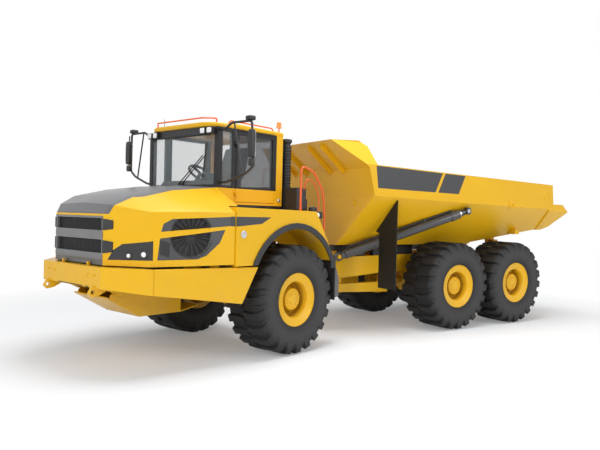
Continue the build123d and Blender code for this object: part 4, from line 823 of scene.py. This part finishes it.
def makeVent(name, stands):
    # a panel that follows the hood's side, sunk in the fan's circle. The blades are a wave round its centre,
    # shallower towards the hub
    topX, topZ, lowX, lowZ = vents[name]
    columns, rows = vents["grid"]
    x = np.linspace(topX[0] + 0.001, topX[-1] - 0.001, columns)[None, :]
    low, high = np.interp(x, lowX, lowZ), np.interp(x, topX, topZ)
    z = low + (high - low) * np.linspace(0.004, 0.996, rows)[:, None]
    x = np.broadcast_to(x, z.shape)
    fanX, fanZ, radius = vents["fan"]
    reach, turn = np.hypot(x - fanX, z - fanZ), np.arctan2(z - fanZ, x - fanX)
    inside = np.clip((radius - reach) / 0.012, 0, 1)
    blades = np.clip(np.sin(vents["blades"] * turn + 5 * reach) * 2, 0, 1)
    blades = blades * np.clip((reach - 0.05) / 0.08, 0, 1)
    y = hoodSide(x) - 0.003 - inside * (vents["sink"] - vents["ridge"] * blades)
    front = np.stack([x, y, z], axis=-1)
    back = np.stack([x, hoodSide(x) - vents["sink"] - vents["back"] - 0.004, z], axis=-1)
    form = Form().grid(front, wrap=False, capped=False).grid(back[:, ::-1], wrap=False, capped=False)
    border = lambda grid: np.concatenate([grid[0], grid[1:, -1], grid[-1, -2::-1], grid[-2:0:-1, 0]])
    form.grid(np.stack([border(front), border(back)]), capped=False)
    form.made(f"vent_{name}", "vent", "hood", mirrored=True, stands=stands)


def makeFanRing():
    # a moulded ring round the fan's circle, where it lies inside the two openings
    fanX, fanZ, radius = vents["fan"]
    form = Form()
    for name, angles in vents["rings"].items():
        turn = np.radians(np.linspace(*angles, 60))
        x, z = fanX + (radius + 0.004) * np.cos(turn), fanZ + (radius + 0.004) * np.sin(turn)
        topX, topZ, lowX, lowZ = vents[name]
        keep = np.where((z < np.interp(x, topX, topZ) - 0.012) & (z > np.interp(x, lowX, lowZ) + 0.012))[0]
        for part in np.split(keep, np.where(np.diff(keep) > 1)[0] + 1):
            if len(part) > 3:
                form.tube(np.stack([x, hoodSide(x) + 0.002, z], axis=1)[part], 0.008, (0, 1, 0), 8)
    form.made("vent_rings", "black", "hood", mirrored=True)


makeVent("upper", ["side_vents"])
makeVent("lower", [])
makeFanRing()
print("grille, lamps and vents ready")

# Small fittings on the front unit. Columns: name, finish, place, direction, profile of (distance, radius)
fittings = [
    ("fuel_cap", "silver", (2.286, 1.4005, 1.769), (0, 1, 0),
     [(-0.004, 0.052), (0.010, 0.052), (0.014, 0.048), (0.014, 0.030), (0.009, 0.028), (0.009, 0.0002)]),
    ("door_lock", "silver", (0.985, 0.8035, 2.262), (0, 1, 0),
     [(-0.004, 0.028), (0.012, 0.028), (0.016, 0.022), (0.016, 0.0002)]),
    ("antenna_foot", "black", (2.050, -0.700, 3.332), (0, 0, 1),
     [(-0.002, 0.030), (0.020, 0.028), (0.045, 0.012), (0.060, 0.0075), (0.065, 0.0002)]),
]
for name, finish, spot, toward, profile in fittings:
    Form().turned(spot, toward, profile, 28).made(name, finish, "front_unit")
antenna = {"line": [(2.050, -0.700, 3.38), (2.052, -0.701, 3.50)], "radius": 0.004}
Form().tube(antenna["line"], antenna["radius"], (0, 1, 0), 8).made("antenna", "black", "front_unit")

# Bumper fittings: bolts on its face, and slots under its lip
bumperKit = {
    "face": 3.974, "bolts": [(-0.567, 1.256), (0.415, 1.249), (-0.415, 1.249), (0.567, 1.256)],
    "bolt": [(0, 0.022), (0.004, 0.022), (0.005, 0.015), (0.013, 0.015), (0.016, 0.012), (0.016, 0.0002)],
    "slots": [(-0.30, 0.30), (0.36, 0.44)], "slotZ": (1.098, 1.110),
}


def makeBumperKit():
    face, (bottom, top) = bumperKit["face"], bumperKit["slotZ"]
    bolts, slots = Form(), Form()
    for y, z in bumperKit["bolts"]:
        bolts.turned((face - 0.002, y, z), (1, 0, 0), bumperKit["bolt"], 12)
    for low, high in bumperKit["slots"]:
        slots.block((face - 0.010, low, bottom), (face + 0.002, high, top))
    bolts.made("bumper_bolts", "yellow", "front_unit")
    slots.made("bumper_slots", "black", "front_unit", bevel=0.002)


makeBumperKit()

# Lamp lenses in the visor, and wipers: each arm's low and high end, with the pivot at the low one
cab = {
    "lamps": [0.557, 0.700, -0.557, -0.700], "lampX": (2.322, 2.340), "lampZ": 3.206,
    "lampHalf": (0.044, 0.036),
    "wiperX": 2.262, "wiperZ": (2.470, 2.870), "wipers": [(-0.031, 0.504), (0.045, 0.560)],
    "blade": [(2.256, 0.50, 2.56), (2.256, 0.57, 3.05)], "pivot": (2.243, 2.455),
    "pivotProfile": [(0, 0.026), (0.028, 0.022), (0.03, 0.0002)],
}


def makeCabKit():
    lenses, bars = Form(), Form()
    (back, front), (halfY, halfZ), middle = cab["lampX"], cab["lampHalf"], cab["lampZ"]
    for y in cab["lamps"]:
        lenses.pod((back, y - halfY, middle - halfZ), (front, y + halfY, middle + halfZ), 0.35, 9, 24)
    lenses.made("visor_lenses", "lamp", "front_unit")
    for ends in cab["wipers"]:
        bars.tube([(cab["wiperX"], y, z) for y, z in zip(ends, cab["wiperZ"])], 0.008, (1, 0, 0), 8)
    bars.tube(cab["blade"], 0.010, (1, 0, 0), 8)
    for low, high in cab["wipers"]:
        bars.turned((cab["pivot"][0], low, cab["pivot"][1]), (1, 0, 0), cab["pivotProfile"], 20)
    bars.made("wipers", "black", "front_unit")


makeCabKit()

# Mirrors, one side: the bent arm and its braces as (path, radius), the heads as (low, high, squareness), and
# the lamp on the upper one
mirror = {
    "arm": [(2.190, 0.801, 3.225), (2.190, 0.900, 3.225), (2.190, 1.010, 3.300), (2.180, 1.400, 3.300),
            (2.160, 1.437, 2.700), (2.160, 1.300, 2.600), (2.190, 0.920, 2.480), (2.190, 0.801, 2.480)],
    "braces": [([(2.185, 1.060, 3.300), (2.165, 1.240, 2.575)], 0.012),
               ([(2.200, 1.437, 3.270), (2.195, 1.440, 2.690)], 0.010)],
    "heads": [((2.180, 1.382, 2.800), (2.245, 1.490, 3.180), 0.40),
              ((2.176, 1.386, 2.690), (2.230, 1.482, 2.792), 0.45),
              ((2.110, 1.300, 3.306), (2.220, 1.420, 3.372), 0.45)],
    "lamp": (2.218, 1.360, 3.338), "glass": ((2.174, 1.392, 2.812), (2.186, 1.480, 3.168)),
    "lampProfile": [(0, 0.024), (0.006, 0.024), (0.008, 0.016), (0.008, 0.0002)],
}


def makeMirrors():
    arms = Form().tube(rounded(mirror["arm"], 0.05), 0.017, (1, 0.03, 0), 12)
    for path, radius in mirror["braces"]:
        arms.tube(path, radius, (1, 0.03, 0), 10)
    arms.made("mirror_arms", "black", "front_unit", mirrored=True)
    heads = Form()
    for low, high, square in mirror["heads"]:
        heads.pod(low, high, square)
    heads.turned(mirror["lamp"], (1, 0, 0), mirror["lampProfile"], 20)
    heads.made("mirror_heads", "black", "front_unit", mirrored=True, stands=["mirrors"])
    Form().pod(*mirror["glass"], 0.25, 9, 24).made("mirror_glass", "chrome", "front_unit", mirrored=True)


makeMirrors()

# Roof rails: one across the front of the roof, and one along each side
roofRail = {
    "front": [(2.180, -0.690, 3.3325), (2.180, -0.690, 3.392), (2.310, -0.520, 3.392), (2.310, 0.520, 3.392),
              (2.180, 0.690, 3.392), (2.180, 0.690, 3.3325)],
    "side": [(2.02, 0.772, 3.333), (2.00, 0.772, 3.372), (1.10, 0.742, 3.372), (1.08, 0.742, 3.333)],
}


def makeRoofRails():
    front = Form().tube(rounded(roofRail["front"], 0.035), 0.012, (0.3, 0.1, 0.02), 10)
    front.made("roof_rail_front", "orange", "front_unit", stands=["roof_rail"])
    sides = Form().tube(rounded(roofRail["side"], 0.03), 0.011, (0, 1, 0), 10)
    sides.made("roof_rail_sides", "orange", "front_unit", mirrored=True)


makeRoofRails()

# Grab rails beside the deck: a post and the long loop down behind the fender to its foot, as (x, z), with a
# shorter one inside it
grab = {
    "y": 1.190, "radius": 0.017, "bend": 0.10, "footBend": 0.02, "foot": (0.392, 1.545),
    "loop": [(0.900, 2.112), (0.900, 2.800), (0.600, 2.730), (0.370, 2.440), (0.315, 2.100), (0.313, 1.588)],
    "inner": [(0.700, 1.075, 2.440), (0.690, 1.120, 2.620), (0.520, 1.150, 2.560), (0.420, 1.160, 2.330),
              (0.440, 1.160, 2.100)], "innerRadius": 0.012, "innerBend": 0.07,
}


def makeGrabRails():
    loop = rounded([(x, grab["y"], z) for x, z in grab["loop"]], grab["bend"])
    footX, footZ = grab["foot"]
    foot = rounded([loop[-1] + (0, 0, 0.05), loop[-1], (footX, grab["y"], footZ)], grab["footBend"])
    rail = Form().tube(np.concatenate([loop[:-1], foot]), grab["radius"], (0, 1, 0), 14)
    rail.made("grab_rail", "orange", "front_unit", stands=["handrails"])
    hose = Form().tube(rounded(grab["inner"], grab["innerBend"]), grab["innerRadius"], (0.2, 1, 0), 12)
    hose.made("grab_hose", "orange", "front_unit")


makeGrabRails()

# Black blocks on both sides, as name, body, edge width and corners: a block that fills the gap under the cab
# as painted shade, a seal that closes the gap under the hood, and the pads on the frame's rails that the body
# rests on
blackBlocks = [
    ("cab_gap_shade", "front_unit", 0.0, [((0.866, 0.722, 1.985), (2.225, 0.746, 2.148))]),
    ("hood_seal", "front_unit", 0.0, [((3.10, 0.0, 1.356), (3.815, 0.560, 1.372))]),
    ("rest_pads", "rear_frame", 0.006, [((-1.500, 0.375, 1.331), (-0.780, 0.485, 1.537)),
                                        ((-2.700, 0.375, 1.331), (-1.700, 0.485, 1.537))]),
]
for name, body, bevel, blocks in blackBlocks:
    form = Form()
    for low, high in blocks:
        form.block(low, high)
    form.made(name, "black", body, bevel=bevel, mirrored=True)

# Inner walls of the wheel arches: a ring sector round the wheel's axle, cut level under the fender's top
arch = {"inner": 0.838, "outer": 1.150, "top": 2.115, "angles": (35, 140), "y": (0.815, 0.827)}


def makeArchWalls():
    turn = np.radians(np.linspace(*arch["angles"], 40))
    inner = arch["inner"] + 0 * turn
    outer = np.minimum(arch["outer"], (arch["top"] - wheels["radius"]) / np.sin(turn))
    near, far = arch["y"]
    rings = [np.stack([wheels["rows"]["front"] + reach * np.cos(turn), y + 0 * turn,
                       wheels["radius"] + reach * np.sin(turn)], axis=1)
             for reach, y in ((inner, near), (outer, near), (outer, far), (inner, far))]
    Form().grid(np.stack(rings, axis=1)).made("arch_walls", "yellow", "front_unit", mirrored=True)


makeArchWalls()

# Boxes, stack and lamps behind the cab. The stack's radius steps up and down with the sign of a sine.
deck = {
    "stack": (0.725, 0.715), "stackZ": (2.440, 3.150), "stackRadius": 0.075, "ribs": 15, "ribDepth": 0.006,
    "cap": [(0, 0.06), (0.02, 0.06), (0.05, 0.085), (0.09, 0.085), (0.10, 0.05)],
    "boxes": [((0.640, 0.720, 2.125), (0.860, 1.080, 2.470)), ((0.560, 0.780, 2.120), (0.640, 1.040, 2.300)),
              ((0.880, 0.660, 2.200), (0.902, 0.790, 3.120))],
    "lamps": [((0.420, 1.120, 1.995), (0.560, 1.260, 2.110)), ((0.470, 1.080, 2.080), (0.600, 1.180, 2.180))],
    "lens": (0.552, 1.215, 2.050),
    "lensProfile": [(0.03, 0.040), (0.052, 0.038), (0.060, 0.022), (0.062, 0.0002)],
}


def makeDeck():
    (bottom, top), ribs = deck["stackZ"], deck["ribs"]
    z = np.linspace(bottom, top, ribs * 6 + 1)
    wave = np.sin(2 * np.pi * ribs * (z - bottom) / (top - bottom))
    ripple = deck["stackRadius"] + deck["ribDepth"] * np.sign(wave)
    stack = Form().turned((*deck["stack"], 0), (0, 0, 1), np.stack([z, ripple], axis=1), 28)
    stack.turned((*deck["stack"], top), (0, 0, 1), deck["cap"], 28)
    stack.made("intake_stack", "black", "front_unit")
    boxes, cases = Form(), Form()
    for low, high in deck["boxes"]:
        boxes.block(low, high)
    for low, high in deck["lamps"]:
        cases.pod(low, high, 0.5)
    boxes.made("deck_boxes", "black", "front_unit", bevel=0.012)
    cases.made("deck_lamp_cases", "black", "front_unit")
    lens = Form().turned(deck["lens"], (0.4, 0.9, 0), deck["lensProfile"], 24)
    lens.made("deck_lamp_lenses", "lamp", "front_unit")


makeDeck()

# Beacon: an amber dome on its stem, each as a foot's height, a profile and its sides
beacon = {
    "spot": (0.900, 0.700),
    "parts": [(3.400, [(0, 0.030), (0.004, 0.045), (0.018, 0.045), (0.020, 0.040), (0.080, 0.037),
                       (0.094, 0.028), (0.0985, 0.012), (0.100, 0.0002)], 32),
              (3.3325, [(0, 0.030), (0.006, 0.030), (0.010, 0.012), (0.070, 0.012)], 20)],
}
dome = Form()
for foot, profile, sides in beacon["parts"]:
    dome.turned((*beacon["spot"], foot), (0, 0, 1), profile, sides)
dome.made("beacon_dome", "amber", "front_unit", stands=["beacon"])

# Dump body fittings: a tie ring on its strap, bolt heads, and on the headboard's lower panel a boss with its
# plug and bolt heads along the edge. The panel leans by its slant from the station at its top edge.
bodyKit = {
    "ring": (-4.417, 1.4505, 2.328), "ringRadius": 0.050, "ringSize": 0.013,
    "strap": [(-0.085, 0.09), (0.085, 0.09), (0.03, -0.02), (-0.03, -0.02)],
    "bolts": [(-5.60, 1.4502, 2.63), (-5.66, 1.4502, 2.53), (-5.50, 1.4502, 2.52)],
    "bolt": [(0, 0.020), (0.012, 0.020), (0.014, 0.016), (0.014, 0.0002)],
    "studs": [(0.93, 2.29, 0.055), (1.36, 2.33, 0.016), (1.29, 2.24, 0.016), (1.22, 2.15, 0.016),
              (1.15, 2.06, 0.016)],
    "stud": [(0, 1), (0.012, 1), (0.018, 0.8), (0.018, 0.5), (0.030, 0.45), (0.030, 0)],
    "panel": (-0.870, 2.395, 0.218), "normal": (0.977, 0, 0.213),
}


def makeBodyKit():
    form = Form()
    x, y, z = bodyKit["ring"]
    turn = np.linspace(0, 2 * np.pi, 25)
    across, up = bodyKit["ringRadius"] * np.cos(turn), bodyKit["ringRadius"] * np.sin(turn)
    path = np.stack([x + across, y + 0.012 + 0 * turn, z + up], axis=1)
    form.tube(path, bodyKit["ringSize"], (0, 1, 0), 10)
    form.plate([(x + along, y - 0.002, z + rise) for along, rise in bodyKit["strap"]], (0, 0.012, 0))
    for bolt in bodyKit["bolts"]:
        form.turned(np.array(bolt) - (0, 0.002, 0), (0, 1, 0), bodyKit["bolt"], 12)
    form.made("body_fittings", "yellow", "dump_body", bevel=0.002, mirrored=True)


def makeHeadboardKit():
    # each stud is a disc with a narrower plug on it, square to the leaning panel
    normal = unitVector(bodyKit["normal"])
    station, topZ, slant = bodyKit["panel"]
    form = Form()
    for y, z, size in bodyKit["studs"]:
        spot = np.array((station + (topZ - z) * slant, y, z))
        profile = [(distance, max(size * share, 0.0002)) for distance, share in bodyKit["stud"]]
        form.turned(spot - normal * 0.004, normal, profile, 20)
    form.made("headboard_fittings", "yellow", "dump_body", mirrored=True)


makeBodyKit()
makeHeadboardKit()
print("fittings ready")

# Camera at the photograph's place, in metres from the steering pin of the rear unit
viewpoint = {
    "place": (5.7803, 9.1021, 2.0547), "azimuth": -2.1653, "elevation": -0.0172, "roll": 0.0254,
    "focal": 36.63, "sensor": 36, "farthest": 200,
}


def makeCamera():
    azimuth, elevation, roll = viewpoint["azimuth"], viewpoint["elevation"], viewpoint["roll"]
    forward = Vector((math.cos(elevation) * math.cos(azimuth), math.cos(elevation) * math.sin(azimuth),
                      math.sin(elevation)))
    right = forward.cross(Vector((0, 0, 1))).normalized()
    up = right.cross(forward)
    across = right * math.cos(roll) + up * math.sin(roll)
    over = up * math.cos(roll) - right * math.sin(roll)
    camera = bpy.data.objects.new("camera", bpy.data.cameras.new("camera"))
    camera.data.lens = viewpoint["focal"]
    camera.data.sensor_width = viewpoint["sensor"]
    camera.data.sensor_fit = "HORIZONTAL"
    camera.data.clip_end = viewpoint["farthest"]
    turn = Matrix((across, over, -forward)).transposed().to_4x4()
    camera.matrix_world = Matrix.Translation(Vector(placed(viewpoint["place"], "rear"))) @ turn
    bpy.context.scene.collection.objects.link(camera)
    bpy.context.scene.camera = camera


makeCamera()

# Floor and light: a white room, softly lit from above and from the camera's left. The floor glows white to
# the camera by a share that is least under the truck and rises with a soft step round a distance from it.
studio = {
    "worldStrength": 0.42, "floor": (0.83, 0.85, 0.88), "floorSize": 120, "bareFrom": (7.2, 5.0),
    "bareLeast": 0.20,
    "lamps": [
        # name, place, aim, size, power
        ("overhead", (1.0, 1.0, 11.0), (0, 0, 1.0), 6.5, 980),
        ("front", (11.0, 7.0, 6.5), (1.5, 0.5, 1.5), 6.0, 520),
        ("side", (-5.0, 12.0, 6.0), (-2.0, 0.0, 1.2), 7.0, 440),
    ],
}
white = (1, 1, 1)


def seenWhite(paint):
    # 1 where a ray from the camera, a mirrored ray or one through glass meets the background, and 0 for light
    path = paint.node("ShaderNodeLightPath", {}).socket.node.outputs
    kinds = ("Camera", "Glossy", "Transmission")
    camera, glossy, through = (Wire(paint, path[f"Is {kind} Ray"]) for kind in kinds)
    return (camera + glossy + through).clamped()


def makeFloor():
    bpy.ops.mesh.primitive_plane_add(size=studio["floorSize"])
    floor = bpy.context.object
    floor.name = "studio_floor"
    paint = Paint("floorWhite")
    distance = paint.node("ShaderNodeVectorMath", {"operation": "LENGTH"}, paint.place(), out=1)
    bare = (distance.above(*studio["bareFrom"]) + studio["bareLeast"]).clamped() * seenWhite(paint)
    diffuse = paint.node("ShaderNodeBsdfDiffuse", {}, Color=studio["floor"])
    glow = paint.node("ShaderNodeEmission", {}, Color=white, Strength=1.0)
    paint.show("Material Output", bare, diffuse, glow)
    floor.data.materials.append(paint.material)


def makeRoom():
    world = bpy.data.worlds.new("room")
    bpy.context.scene.world = world
    room = Paint("room", world)
    lit = room.node("ShaderNodeBackground", {}, Color=white, Strength=studio["worldStrength"])
    wall = room.node("ShaderNodeBackground", {}, Color=white, Strength=1.0)
    room.show("World Output", seenWhite(room), lit, wall)


def makeLamp(name, spot, aim, size, power):
    light = bpy.data.lights.new(name, "AREA")
    light.shape, light.size, light.energy = "DISK", size, power
    lamp = bpy.data.objects.new(name, light)
    lamp.location = spot
    lamp.rotation_euler = (Vector(aim) - Vector(spot)).to_track_quat("-Z", "Y").to_euler()
    bpy.context.scene.collection.objects.link(lamp)


bpy.context.scene.view_settings.view_transform = "Standard"
makeFloor()
makeRoom()
for lamp in studio["lamps"]:
    makeLamp(*lamp)
print("camera and studio ready")

bpy.context.view_layer.update()
